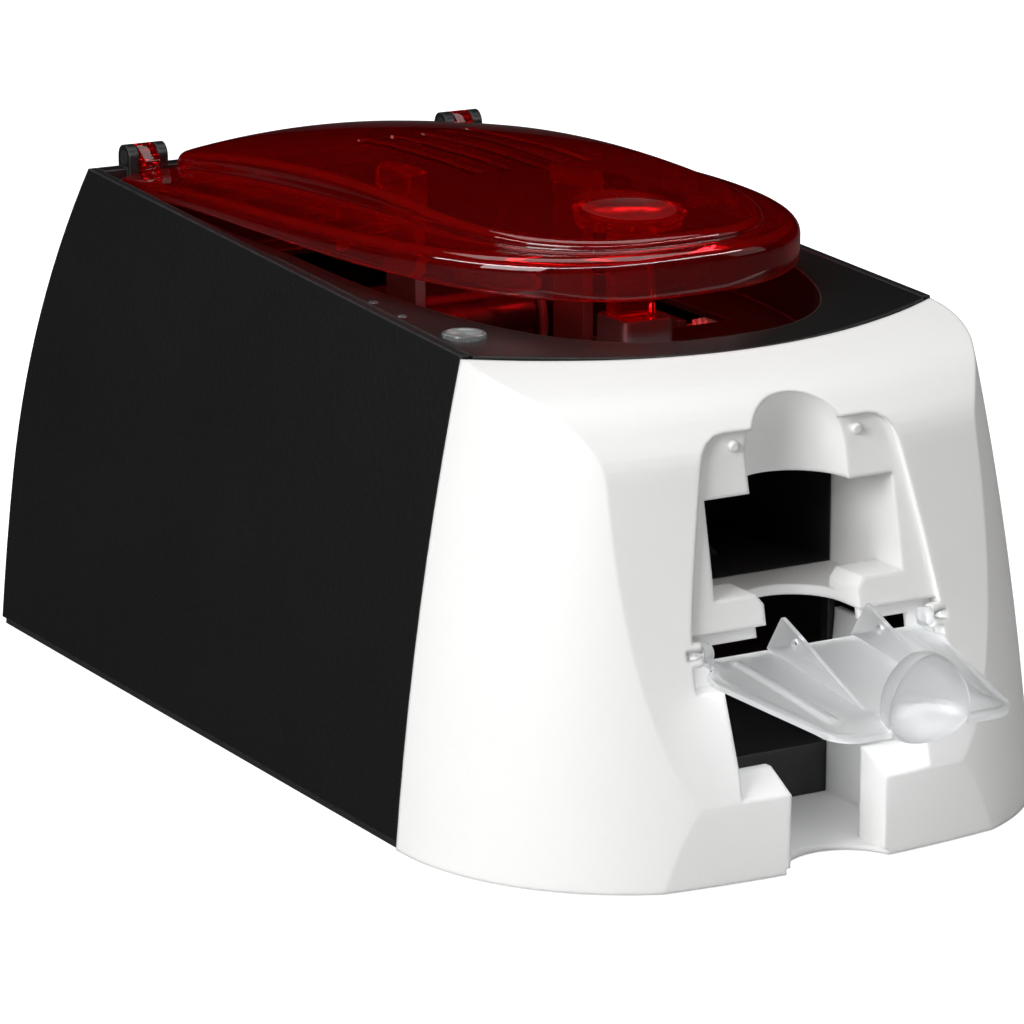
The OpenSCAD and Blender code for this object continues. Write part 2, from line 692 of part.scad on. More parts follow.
function flap_side() = concat(
  [[flap_hw - 3.8, 1], [flap_hw - 3.8, -4.2], [flap_w(5.4), -5.4]],
  [[flap_w(20), -20], [flap_w(flap_len - 8), -(flap_len - 8)]],
  [for (a = [15 : 15 : 90])
    [flap_tip_hw - 8 + 8 * cos(a), -(flap_len - 7.5) - 8 * sin(a)]]
);
module card_flap() color([0.85, 0.87, 0.88, 0.6])
  translate([0, flap_y, flap_z]) rotate([flap_drop, 0, 0]) {
    difference() {
      union() {
        translate([0, 0, -flap_d - flap_t]) linear_extrude(flap_t) {
          r = flap_side();
          polygon(concat(r, [for (i = [len(r) - 1 : -1 : 0]) [-r[i][0], r[i][1]]]));
        }
        intersection() {
          translate([0, -flap_len, 0]) sphere(r = cup_r, $fn = 96);
          box([-20, -flap_len, -9.7], [20, 0, 20]);
        }
      }
      translate([0, -flap_len, 0]) sphere(r = cup_r - 1.3, $fn = 96);
    }
    // Fins that stop the cards when the flap is shut
    for (s = [-1, 1]) difference() {
      along_x(s * fin_x - fin_t / 2, s * fin_x + fin_t / 2) polygon([
        [3.4, -flap_d - flap_t], [-2.6, 7.6], [-4.4, 7.6], [-flap_len + 9.5, -flap_d],
        [-flap_len + 9.5, -flap_d - flap_t]
      ]);
      bar_x([-7, 1.2], 1.2, -20, 20);
    }
    // Pins on short arms
    both_sides() {
      bar_x([0, 0], 2.4, flap_hw - 5, flap_hw - 2.3);
      box([flap_hw - 5, -2, -flap_d - flap_t], [flap_hw - 3.8, 1.5, 0]);
      bar_x([0, 0], flap_pin_r, flap_hw - 3, recess_hw + 0.8);
    }
  }

// ---------- Deck ----------

// Section of the sloping roof behind the seam, and of the part that falls to the front
module roof_flat(t) {
  intersection() {
    polygon([
      [seam_y, seam_h], [rear_y, roof_z(rear_y)],
      [rear_y, roof_z(rear_y) - t / cos(roof_slope)], [seam_y, seam_h - t / cos(roof_slope)]
    ]);
    translate([rear_y - rear_bow_r, rear_break]) circle(r = rear_bow_r, $fn = 720);
  }
}
module roof_fall(t) {
  difference() {
    translate(nose_c) circle(r = nose_r, $fn = 720);
    translate(nose_c) circle(r = nose_r - t, $fn = 720);
    translate([seam_y, -tall]) square(3 * tall);
    translate([front_y - tall, -tall]) square([2 * tall, tall + 90]);
  }
}

module top_deck() color([0.09, 0.09, 0.1]) {
  difference() {
    union() {
      // Roof plate
      intersection() {
        along_x(-base_w, base_w) roof_flat(deck_t);
        along_y(seam_y - 1, rear_y + 5) cross_section(skin_t + panel_gap);
      }
      intersection() {
        along_x(-base_w, base_w) roof_fall(deck_t);
        along_y(front_y, seam_y + 1) cross_section(skin_t + panel_gap);
        translate([0, deck_front + deck_r, 100]) cylinder(r = deck_r - panel_gap, h = tall, $fn = 360);
      }
      // Ledge under the rear half of the lid, and the step behind it
      intersection() {
        union() {
          box([-base_w, ledge_y - 110, ledge_z - deck_t], [base_w, hinge_y, ledge_z]);
          box([-base_w, ledge_y, ledge_z - deck_t], [base_w, ledge_y + 2, roof_z(ledge_y) - 1]);
        }
        along_y(seam_y - 1, rear_y + 5) cross_section(skin_t + panel_gap);
        along_x(-base_w, base_w) long_section(deck_t / 2);
      }
      // Wall and floor of the well
      intersection() {
        translate([0, 0, well_z]) linear_extrude(40) well_outline(well_t);
        along_x(-base_w, base_w) long_section(deck_t / 2);
      }
    }
    translate([0, 0, well_z + well_t]) linear_extrude(40) well_outline(0);
    box([-open_hw, open_y0, well_z - 1], [open_hw, open_y1, well_z + 5]);
    box([-base_w, seam_y, ledge_z], [base_w, ledge_y, tall]);
    // Room for the knuckles of the lid
    both_sides() bar_x([hinge_y, hinge_z], knuckle_r + 0.5, ear_x, ear_x + 6);
    // Button and light holes
    translate([button_p[0], button_p[1], 100]) cylinder(r = button_r + 0.3, h = 40, $fn = 64);
    for (p = light_p)
      translate([p[0], p[1], 100]) cylinder(r = light_r + 0.05, h = 50, $fn = 32);
  }
  // Hinge ears
  for (x = [-ear_x - 9, -ear_x, ear_x - 3, ear_x + 6]) difference() {
    union() {
      bar_x([hinge_y, hinge_z], knuckle_r, x, x + 3);
      box([x, hinge_y - knuckle_r, ledge_z - 0.5], [x + 3, hinge_y, hinge_z]);
      box([x, hinge_y - 1, roof_z(hinge_y) - deck_t + 0.5], [x + 3, hinge_y + knuckle_r, hinge_z]);
    }
    bar_x([hinge_y, hinge_z], hinge_pin_r + 0.02, x - 1, x + 4);
  }
  // Posts for the control board
  for (p = cboard_posts)
    translate([p[0], p[1], cboard_z + 1.2])
      cylinder(r = 1.3, h = roof_z(p[1]) - cboard_z - 1.2 - deck_t / 2, $fn = 32);
}
module control_button() color([0.8, 0.82, 0.85]) {
  z = roof_z(button_p[1]);
  translate([button_p[0], button_p[1], 0]) {
    translate([0, 0, z - 7]) cylinder(r = button_r, h = 8, $fn = 64);
    translate([0, 0, z - 7]) cylinder(r = button_r + 1.4, h = 1.6, $fn = 64);
  }
}
module control_board() color([0.1, 0.35, 0.2]) {
  box([button_p[0] - 6.8, button_p[1] + 8, cboard_z], [button_p[0] - 0.8, button_p[1] + 42, cboard_z + 1.2]);
  box([button_p[0] - 6.8, button_p[1] - 10, cboard_z], [button_p[0] + 7.5, button_p[1] + 8.1, cboard_z + 1.2]);
  z = roof_z(button_p[1]) - 7 - button_travel - 0.4;
  translate([button_p[0], button_p[1], cboard_z + 1.2 - over])
    cylinder(r = 3, h = z - cboard_z - 1.2 + over, $fn = 32);
}
module status_lights() color([0.85, 0.88, 0.9]) for (p = light_p)
  translate([p[0], p[1], cboard_z + 1.2])
    cylinder(r = light_r, h = roof_z(p[1]) - cboard_z - 1.1, $fn = 32);

// ---------- Lid ----------

// Crowned form of height z at y, with radius rs seen from the side and rf seen from the front
module crowned(y, z, rs, rf) {
  translate([0, y, z - rs]) rotate([0, 90, 0])
    rotate_extrude($fn = 720) intersection() {
      translate([rs - rf, 0]) circle(r = rf, $fn = 720);
      translate([rs - 40, -base_w / 2]) square([50, base_w]);
    }
}
function shoulder_z(x, y) = arch_z + shoulder_up - pow(x, 2) / (2 * shoulder_rx)
  - shoulder_r + sqrt(shoulder_r * shoulder_r - pow(y - shoulder_y, 2));
function edge_z(y) = arch_z - edge_r + sqrt(edge_r * edge_r - pow(y - arch_y, 2));
function crown_z(y) = lid_top - crown_r + sqrt(crown_r * crown_r - pow(y - crown_y, 2));
// The lid as a solid form, with its walls t further in
module lid_form(t) {
  intersection() {
    translate([0, 0, well_z]) linear_extrude(60) lid_outline(t);
    crowned(shoulder_y, arch_z + shoulder_up - t, shoulder_r, shoulder_rx);
  }
  intersection() {
    translate([0, 0, well_z]) linear_extrude(60) dome_outline(t);
    crowned(crown_y, lid_top - t, crown_r, crown_rx);
  }
}
module lid_shell() color([0.6, 0.03, 0.04, 0.7]) {
  difference() {
    lid_form(0);
    lid_form(lid_t);
    translate([-base_w, arch_y, arch_z - edge_r]) rotate([0, 90, 0])
      cylinder(r = edge_r, h = 2 * base_w, $fn = 1440);
    dimple_cut();
    // Grooves along the crown
    difference() {
      for (i = [0 : groove_n - 1]) let (x = (i - (groove_n - 1) / 2) * groove_pitch)
        translate([0, seam_y + 81 + abs(x) * 0.25, 0]) {
          for (y = [0, 62]) translate([x, y, arch_z]) cylinder(r = 1.3, h = 40, $fn = 32);
          box([x - 1.3, 0, arch_z], [x + 1.3, 62, arch_z + 40]);
        }
      crowned(crown_y, lid_top - lid_t / 2, crown_r, crown_rx);
    }
  }
  // Hinge knuckles
  both_sides() difference() {
    union() {
      bar_x([hinge_y, hinge_z], knuckle_r, ear_x + 0.4, ear_x + 5.6);
      along_x(ear_x + 0.4, ear_x + 5.6) polygon([
        [lid_rear - 5, arm_z], [lid_rear, arm_z], [hinge_y - 1.6, arm_z + 1.4],
        [hinge_y, hinge_z], [lid_rear - 5, hinge_z - 0.8]
      ]);
    }
    bar_x([hinge_y, hinge_z], hinge_pin_r + run_gap, ear_x - 1, ear_x + 7);
  }
  // Disc under the dimple, latch post, pads for the print head and ribs, all kept under the lid
  difference() {
    intersection() {
      union() {
        translate([0, dimple_y, crown_z(dimple_y) - 6]) cylinder(r = dimple_d / 2 + 1, h = 9, $fn = 64);
        box([-6, dimple_y - 4, well_z + 7], [6, dimple_y + 2, lid_top]);
        box([-6, dimple_y - 6.5, well_z + 7], [6, dimple_y + 2, well_z + 9.5]);
        both_sides() box([24, platen_c[0] - 10, pad_z], [30, platen_c[0] + 10, lid_top]);
      }
      crowned(crown_y, lid_top - lid_t / 2, crown_r, crown_rx);
    }
    dimple_cut();
  }
  both_sides() for (y = rib_y)
    box([dome_hw - lid_t, y, edge_z(y) + 1], [rib_x, y + 1.2, shoulder_z(rib_x, y) - 0.4]);
}
module dimple_cut() {
  r = (pow(dimple_d / 2, 2) + 6.8) / 5.2;
  translate([0, dimple_y, crown_z(dimple_y) - 2.6 + r]) sphere(r = r, $fn = 180);
}
module lid_pins() color("silver") both_sides()
  bar_x([hinge_y, hinge_z], hinge_pin_r, ear_x - 3, ear_x + 9);

module latch_catch() color([0.08, 0.08, 0.09]) {
  z = well_z + well_t;
  difference() {
    box([-10, seam_y + 20, z], [10, seam_y + 42, z + 9]);
    box([-7.6, seam_y + 24.8, z - 1], [7.6, seam_y + 39.6, z + 12]);
  }
  box([-7.7, seam_y + 24.6, z + 7], [7.7, seam_y + 26.4, z + 9]);
}

// ---------- Chassis ----------

module plate_drawing(right) {
  difference() {
    translate([plate_y0, tray_top]) square([plate_y1 - plate_y0, plate_z1 - tray_top]);
    // Chamfered upper corners
    polygon([[plate_y0 - 1, plate_z1 - 8], [plate_y0 + 30, plate_z1 + 1], [plate_y0 - 1, plate_z1 + 1]]);
    polygon([[plate_y1 + 1, plate_z1 - 40], [plate_y1 - 25, plate_z1 + 1], [plate_y1 + 1, plate_z1 + 1]]);
    // Open slots for the ribbon spools
    for (c = [takeup_c, supply_c]) {
      translate(c) circle(r = journal_r + run_gap, $fn = 64);
      translate([c[0] - journal_r - run_gap, c[1]]) square([2 * (journal_r + run_gap), 40]);
    }
    // Shaft bores
    for (c = [platen_c, feed_c, pick_c])
      translate(c) circle(r = shaft_r + run_gap, $fn = 64);
    for (c = [pinch_c, clean_c])
      translate(c) circle(r = 2 + run_gap, $fn = 48);
    // Windows
    if (right)
      translate(motor_c) circle(r = 8, $fn = 64);
    else
      translate([platen_c[0] - 10, 18]) square([54, 26]);
    translate([gate_y + 2, 16]) square([44, 22]);
    translate([plate_y1 - 44, 56]) square([26, 26]);
  }
}
module chassis_left() color([0.13, 0.13, 0.14])
  along_x(-plate_x - plate_t, -plate_x) plate_drawing(false);
module chassis_right() color([0.13, 0.13, 0.14]) {
  along_x(plate_x, plate_x + plate_t) plate_drawing(true);
  for (c = [mid_c, fid_c, pid_c, tid_c])
    bar_x(c, stud_r, plate_x + plate_t - over, gear_x + gear_w + 0.8);
}
module feed_track() color([0.12, 0.12, 0.13]) difference() {
  union() {
    box([-plate_x, bay_y + panel_gap, bay_floor], [plate_x, gate_y + 2, card_z]);
    both_sides() box([ch, bay_y + panel_gap, bay_floor], [ch + 2, gate_y + 2, bay_top]);
    // Gate wall over a slot for one card
    box([-ch - 1, gate_y, card_z + 1.5 * card_t], [ch + 1, gate_y + 2, bay_top]);
    // Track past the exit slot
    box([-plate_x, gate_y + 9, bay_floor], [plate_x, platen_c[0] - platen_r - 2, card_z]);
    both_sides()
      box([ch, gate_y + 1, bay_floor], [ch + 2, platen_c[0] - platen_r - 2, card_z + 3]);
  }
  box([-10, pick_c[0] - pick_r - 1, bay_floor - 1], [10, pick_c[0] + pick_r + 1, card_z + 1]);
  box([-20.6, feed_c[0] - feed_r - 1, bay_floor - 1], [20.6, feed_c[0] + feed_r + 1, card_z + 1]);
}
module rear_track() color([0.12, 0.12, 0.13]) {
  y0 = platen_c[0] + platen_r + 2;
  y1 = platen_c[0] + card_l + 3;
  box([-plate_x, y0, bay_floor], [plate_x, y1, card_z]);
  both_sides() box([ch, y0, card_z - over], [ch + 2, y1, card_z + 3]);
}
module output_chute() color([0.1, 0.1, 0.11]) {
  y0 = bay_y + panel_gap;
  y1 = gate_y - 2;
  difference() {
    along_x(-plate_x, plate_x) polygon([
      [y0, tray_top], [y0, 15.4], [y1, 15.4 + (y1 - y0) * 0.385],
      [y1, 12.4 + (y1 - y0) * 0.385], [y0 + 3, 12.4], [y0 + 3, tray_top]
    ]);
    both_sides() box([ch + 2.2, y0 - 1, tray_top - 1], [plate_x + 1, y0 + 4, 60]);
  }
  both_sides() box([ch, y0, tray_top], [ch + 2, y0 + 3, recess_z0 + 6]);
}

// ---------- Print head ----------

module head_bracket() color("silver") {
  y = platen_c[0];
  both_sides() box([24.5, y - 8, head_z + 17], [27.5, y + 8, pad_z]);
  difference() {
    box([-27.5, y - 8, head_z + 15], [27.5, y + 8, head_z + 17.01]);
    for (x = [-14, 0, 14]) translate([x, y, head_z + 14]) cylinder(r = 3, h = 5, $fn = 32);
  }
}
module head_sink() color([0.75, 0.76, 0.78]) difference() {
  box([-29, platen_c[0] - 7, head_z + 4], [29, platen_c[0] + 7, head_z + 15]);
  for (i = [0 : 3])
    box([-30, platen_c[0] - 5.4 + 3.2 * i, head_z + 8], [30, platen_c[0] - 4.2 + 3.2 * i + 0.4, head_z + 13]);
}
module print_head() color([0.92, 0.9, 0.84]) along_x(-29, 29) polygon([
  [platen_c[0] - 7, head_z + 1.4], [platen_c[0] - 2.5, head_z], [platen_c[0] + 2.5, head_z],
  [platen_c[0] + 7, head_z + 1.4], [platen_c[0] + 7, head_z + 4], [platen_c[0] - 7, head_z + 4]
]);

// ---------- Rollers ----------

module sleeve(c, r, rb, x0, x1) {
  difference() {
    bar_x(c, r, x0, x1);
    bar_x(c, rb + fit, x0 - 1, x1 + 1);
  }
}
module drive_shaft(c) {
  bar_x(c, shaft_r, -plate_x - plate_t - 1.5, gear_x + gear_w + 0.6);
}
module platen_shaft() color("silver") drive_shaft(platen_c);
module platen_roller() color([0.16, 0.16, 0.17]) sleeve(platen_c, platen_r, shaft_r, -29, 29);
module pick_shaft() color("silver") drive_shaft(pick_c);
module pick_roller() color([0.2, 0.2, 0.22]) sleeve(pick_c, pick_r, shaft_r, -9, 9);
module feed_shaft() color("silver") drive_shaft(feed_c);
module feed_roller() color([0.2, 0.2, 0.22]) {
  sleeve(feed_c, feed_r, shaft_r, -20, -6);
  sleeve(feed_c, feed_r, shaft_r, 6, 20);
}
module pinch_roller() color([0.8, 0.8, 0.8]) {
  bar_x(pinch_c, 2, -plate_x - plate_t - 1, plate_x + plate_t + 1);
  bar_x(pinch_c, pinch_r, -20, 20);
}
module cleaning_roller() color([0.3, 0.45, 0.75]) {
  bar_x(clean_c, 2, -plate_x - plate_t - 1, plate_x + plate_t + 1);
  bar_x(clean_c, clean_r, -27, 27);
}
module spool(c, fr, x1) {
  bar_x(c, 7, -31, 31);
  bar_x(c, fr, -31, -29.5);
  bar_x(c, fr, 29.5, 31);
  bar_x(c, journal_r, -plate_x - plate_t - 1, x1);
}
module supply_spool() color([0.9, 0.9, 0.88]) spool(supply_c, flange_r, plate_x + plate_t + 1);
module takeup_spool() color([0.9, 0.9, 0.88]) spool(takeup_c, flange_r - 2.5, gear_x + gear_w + 0.6);
module supply_roll() color([0.1, 0.1, 0.12]) sleeve(supply_c, supply_r, 7, -28.5, 28.5);
module takeup_roll() color([0.1, 0.1, 0.12]) sleeve(takeup_c, takeup_r, 7, -28.5, 28.5);
module guide_rods() color("silver") for (c = [rod_a, rod_b])
  bar_x(c, 1.5, -plate_x, plate_x);
// Where the line from p touches a circle of radius r about c, on its lower side
function touch(p, c, r) =
  let (d = c - p, l = norm(d), a = atan2(d[1], d[0]) + asin(r / l))
  p + sqrt(l * l - r * r) * [cos(a), sin(a)];
// Film from the supply roll, down under the print head and up to the take-up roll
module ribbon_film() color([0.15, 0.12, 0.2]) {
  z = head_z - 0.4;
  t = 0.2;
  p1 = rod_a + [-1.4, -1.9];
  a = touch(p1, takeup_c, takeup_r + 0.3);
  n = t * [(a - p1)[1], (p1 - a)[0]] / norm(a - p1);
  p2 = rod_b + [1.9, -0.6];
  b = [supply_c[0] - supply_r - 0.3, supply_c[1] - 1];
  along_x(-27, 27) polygon([
    a, p1, [rod_a[0] - 0.6, z], [rod_b[0] + 1.4, z], p2, b,
    b + [t, 0], p2 + [t, 0], [rod_b[0] + 1.5, z - t], [rod_a[0] - 0.7, z - t], p1 - n, a - n
  ]);
}

// ---------- Drive ----------

module drive_motor() color([0.35, 0.35, 0.37]) difference() {
  union() {
    along_x(plate_x - 26, plate_x) translate(motor_c) intersection() {
      square(motor_w, center = true);
      rotate(45) square(motor_w * 1.3, center = true);
    }
    bar_x(motor_c, 7.8, plate_x - over, plate_x + plate_t);
  }
  bar_x(motor_c, 2 + run_gap, plate_x - 20, plate_x + 10);
}
module motor_pinion() color([0.8, 0.66, 0.35]) {
  gear(t_pin, motor_c, ph_pin, 2, false);
  bar_x(motor_c, 2.01, plate_x - 16, gear_x + gear_w + 1);
}
module motor_idler() color([0.93, 0.92, 0.88]) gear(t_mid, mid_c, ph_mid, stud_r + run_gap);
module platen_gear() color([0.93, 0.92, 0.88]) gear(t_plt, platen_c, ph_plt, shaft_r + fit);
module feed_idler() color([0.93, 0.92, 0.88]) gear(t_fid, fid_c, ph_fid, stud_r + run_gap);
module feed_gear() color([0.93, 0.92, 0.88]) gear(t_fed, feed_c, ph_fed, shaft_r + fit);
module pick_idler() color([0.93, 0.92, 0.88]) gear(t_pid, pid_c, ph_pid, stud_r + run_gap);
module pick_gear() color([0.93, 0.92, 0.88]) gear(t_pck, pick_c, ph_pck, shaft_r + fit);
module takeup_idler() color([0.93, 0.92, 0.88])
  gear(t_tid, tid_c, ph_tid, stud_r + run_gap, false);
module takeup_gear() color([0.93, 0.92, 0.88]) gear(t_tak, takeup_c, ph_tak, journal_r + fit);

// ---------- Electronics ----------

module main_board() color([0.1, 0.35, 0.2]) {
  box([-66, rear_y - 31, board_z], [66, rear_y - 4, board_z + board_t]);
  box([-56, rear_y - 26, board_z + board_t - over], [-44, rear_y - 14, board_z + board_t + 1.6]);
  box([-8, rear_y - 27, board_z + board_t - over], [6, rear_y - 13, board_z + board_t + 2]);
  for (x = [38, 50])
    translate([x, rear_y - 18, board_z + board_t - over]) cylinder(r = 4, h = 11, $fn = 32);
}
module usb_socket() color("silver") {
  z = board_z + board_t;
  difference() {
    box([usb_x - 6, rear_y - 17, z], [usb_x + 6, rear_y - 0.6, z + 11]);
    box([usb_x - 4.4, rear_y - 10, z + 1.4], [usb_x + 4.4, rear_y, z + 9.4]);
  }
  box([usb_x - 2.8, rear_y - 10.5, z + 3.8], [usb_x + 2.8, rear_y - 2, z + 7]);
}
module power_jack() color([0.08, 0.08, 0.08]) {
  z = board_z + board_t;
  difference() {
    union() {
      box([jack_x - 4.5, rear_y - 17, z], [jack_x + 4.5, rear_y - 4, z + 11]);
      translate([jack_x, rear_y - 5, z + 5.5]) rotate([-90, 0, 0]) cylinder(r = 4.5, h = 4.6, $fn = 48);
    }
    translate([jack_x, rear_y - 11, z + 5.5]) rotate([-90, 0, 0]) cylinder(r = 3.2, h = 20, $fn = 48);
  }
  translate([jack_x, rear_y - 12, z + 5.5]) rotate([-90, 0, 0]) cylinder(r = 1, h = 10, $fn = 32);
}

base_tray();
rubber_feet();
left_side_panel();
right_side_panel();
rear_panel();
front_panel();
top_deck();
lid_shell();
lid_pins();
latch_catch();
card_flap();
control_button();
control_board();
status_lights();
chassis_left();
chassis_right();
feed_track();
rear_track();
output_chute();
head_bracket();
print_head();
head_sink();
platen_shaft();
platen_roller();
pick_shaft();
pick_roller();
feed_shaft();
feed_roller();
pinch_roller();
cleaning_roller();
supply_spool();
supply_roll();
takeup_spool();
takeup_roll();
ribbon_film();
guide_rods();
drive_motor();
motor_pinion();
motor_idler();
platen_gear();
feed_idler();
feed_gear();
pick_idler();
pick_gear();
takeup_idler();
takeup_gear();
main_board();
usb_socket();
power_jack();
screws();
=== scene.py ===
import json
import math
import bmesh
import bpy
import numpy as np
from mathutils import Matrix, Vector
from mathutils.geometry import convex_hull_2d


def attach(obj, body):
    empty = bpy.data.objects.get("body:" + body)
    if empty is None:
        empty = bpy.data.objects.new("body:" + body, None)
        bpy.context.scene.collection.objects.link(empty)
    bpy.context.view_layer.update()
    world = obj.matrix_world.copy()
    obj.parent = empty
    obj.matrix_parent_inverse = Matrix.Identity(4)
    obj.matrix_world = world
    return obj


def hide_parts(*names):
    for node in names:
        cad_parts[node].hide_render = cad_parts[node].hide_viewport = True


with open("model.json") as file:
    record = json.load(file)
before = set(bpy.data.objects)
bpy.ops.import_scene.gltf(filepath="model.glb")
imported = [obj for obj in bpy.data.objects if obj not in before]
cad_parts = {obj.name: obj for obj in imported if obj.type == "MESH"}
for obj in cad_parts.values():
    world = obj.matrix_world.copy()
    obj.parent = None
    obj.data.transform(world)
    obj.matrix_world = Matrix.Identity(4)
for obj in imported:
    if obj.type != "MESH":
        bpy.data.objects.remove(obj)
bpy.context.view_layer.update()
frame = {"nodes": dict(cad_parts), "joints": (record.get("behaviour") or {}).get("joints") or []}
cad = frame["nodes"]

# ---------------------------------------------------------------- Studio
# A pale seamless floor under a dim sky that polished parts hardly mirror, one broad lamp on each
# side of the printer, one overhead, and an arc of narrow strips that only shine in polished
# edges. The camera stands a little above the desk, in front and to the left.

camera = bpy.data.objects.new("camera", bpy.data.cameras.new("camera"))
bpy.context.scene.collection.objects.link(camera)
camera.data.sensor_width = 36
camera.data.lens = 170.6
camera.data.clip_start, camera.data.clip_end = 0.05, 60
camera.location = (-0.6392, -1.0676, 0.3908)
turn, rise = math.radians(-30.25), math.radians(14.86)
away = Vector((math.sin(turn) * math.cos(rise), -math.cos(turn) * math.cos(rise), math.sin(rise)))
camera.rotation_mode = "QUATERNION"
camera.rotation_quaternion = (-away).to_track_quat("-Z", "Y")
bpy.context.scene.camera = camera
bpy.context.scene.view_settings.view_transform = "Standard"


def new_nodes(nodes, *kinds):
    """New shader nodes of the given kinds, in that order."""
    return [nodes.new("ShaderNode" + kind) for kind in kinds]


def soft_lamp(name, place, aim, wide, high, watts, tint=(1, 1, 1)):
    """A rectangular lamp of wide by high metres at place, facing aim."""
    lamp = bpy.data.lights.new(name, "AREA")
    lamp.shape, lamp.size, lamp.size_y = "RECTANGLE", wide, high
    lamp.energy, lamp.color = watts, tint
    holder = bpy.data.objects.new(name, lamp)
    bpy.context.scene.collection.objects.link(holder)
    holder.location = place
    holder.rotation_mode = "QUATERNION"
    holder.rotation_quaternion = (Vector(aim) - Vector(place)).to_track_quat("-Z", "Y")
    return holder


soft_lamp("lamp_left", (-1.75, -0.7, 0.95), (0, -0.05, 0.07), wide=1.2, high=1.0, watts=34)
soft_lamp("lamp_right", (1.5, -0.9, 0.75), (0, -0.05, 0.07), wide=0.9, high=1.0, watts=1.9,
          tint=(1, 0.92, 0.84))
soft_lamp("lamp_over", (0.1, 0.1, 1.4), (0, 0, 0.1), wide=1.6, high=0.8, watts=12)
strip_reach, strip_height = 1.39, 1.05
for index, round_to in enumerate(np.radians([-95, -60, -25, 10, 45])):
    place = (strip_reach * math.sin(round_to), -strip_reach * math.cos(round_to), strip_height)
    strip = soft_lamp("strip_%d" % index, place, (0, 0, 0.1), wide=0.86, high=0.09, watts=6)
    strip.visible_diffuse = False

# The sky is brightest high up in front at the left, and dimmer where a polished part mirrors it
sky = bpy.data.worlds.new("dim_sky")
bpy.context.scene.world = sky
sky.use_nodes = True
sky_nodes, sky_link = sky.node_tree.nodes, sky.node_tree.links.new
sky_way, sky_side, sky_fade, sky_ray, sky_dim = new_nodes(
    sky_nodes, "TexCoord", "VectorMath", "MapRange", "LightPath", "MapRange")
sky_side.operation = "DOT_PRODUCT"
sky_side.inputs[1].default_value = (-0.42, -0.50, 0.76)
sky_fade.inputs["From Min"].default_value, sky_fade.inputs["From Max"].default_value = -0.3, 0.95
sky_fade.inputs["To Min"].default_value, sky_fade.inputs["To Max"].default_value = 0.02, 1.0
sky_link(sky_way.outputs["Generated"], sky_side.inputs[0])
sky_link(sky_side.outputs["Value"], sky_fade.inputs["Value"])
sky_link(sky_fade.outputs["Result"], sky_nodes["Background"].inputs["Color"])
sky_dim.inputs["To Min"].default_value, sky_dim.inputs["To Max"].default_value = 0.26, 0.03
sky_link(sky_ray.outputs["Is Glossy Ray"], sky_dim.inputs["Value"])
sky_link(sky_dim.outputs["Result"], sky_nodes["Background"].inputs["Strength"])

# The floor glows for the camera alone, which sees it white, and polished parts mirror it dark
floor_reach = 30
floor_corners = [(x * floor_reach, y * floor_reach, 0) for x, y in ((-1, -1), (1, -1), (1, 1), (-1, 1))]
floor_mesh = bpy.data.meshes.new("floor")
floor_mesh.from_pydata(floor_corners, [], [(0, 1, 2, 3)])
floor = bpy.data.objects.new("floor", floor_mesh)
bpy.context.scene.collection.objects.link(floor)
floor_paint = bpy.data.materials.new("floor_paint")
floor_paint.use_nodes = True
floor_nodes, floor_link = floor_paint.node_tree.nodes, floor_paint.node_tree.links.new
floor_shader = floor_nodes["Principled BSDF"]
floor_shader.inputs["Roughness"].default_value = 0.9
floor_glow, floor_ray, floor_both, floor_pick, floor_grey = new_nodes(
    floor_nodes, "Emission", "LightPath", "AddShader", "MixShader", "MapRange")
floor_grey.inputs["To Min"].default_value, floor_grey.inputs["To Max"].default_value = 0.62, 0.06
floor_link(floor_ray.outputs["Is Glossy Ray"], floor_grey.inputs["Value"])
floor_link(floor_grey.outputs["Result"], floor_shader.inputs["Base Color"])
floor_glow.inputs["Strength"].default_value = 0.92
floor_link(floor_shader.outputs[0], floor_both.inputs[0])
floor_link(floor_glow.outputs[0], floor_both.inputs[1])
floor_link(floor_ray.outputs["Is Camera Ray"], floor_pick.inputs["Fac"])
floor_link(floor_shader.outputs[0], floor_pick.inputs[1])
floor_link(floor_both.outputs[0], floor_pick.inputs[2])
floor_link(floor_pick.outputs[0], floor_nodes["Material Output"].inputs["Surface"])
floor_mesh.materials.append(floor_paint)

# ---------------------------------------------------------------- Side, rear and base mouldings
# Two bowed side panels and a rear panel, injection moulded in black with a fine spark-eroded
# texture, over a plain black base tray. Each edge of a moulding has a small round.


def empty_group(name, vectors, numbers, results):
    """Node group with inward sockets for vectors and numbers, and an outward one for each result.
    Gives the group, its nodes, its link maker and the two nodes that hold its sockets."""
    group = bpy.data.node_groups.new(name, "ShaderNodeTree")
    for labels, kind, way in ((vectors, "NodeSocketVector", "INPUT"), (numbers, "NodeSocketFloat", "INPUT"),
                              (results, "NodeSocketFloat", "OUTPUT")):
        for label in labels:
            group.interface.new_socket(name=label, in_out=way, socket_type=kind)
    nodes = group.nodes
    return group, nodes, group.links.new, nodes.new("NodeGroupInput"), nodes.new("NodeGroupOutput")


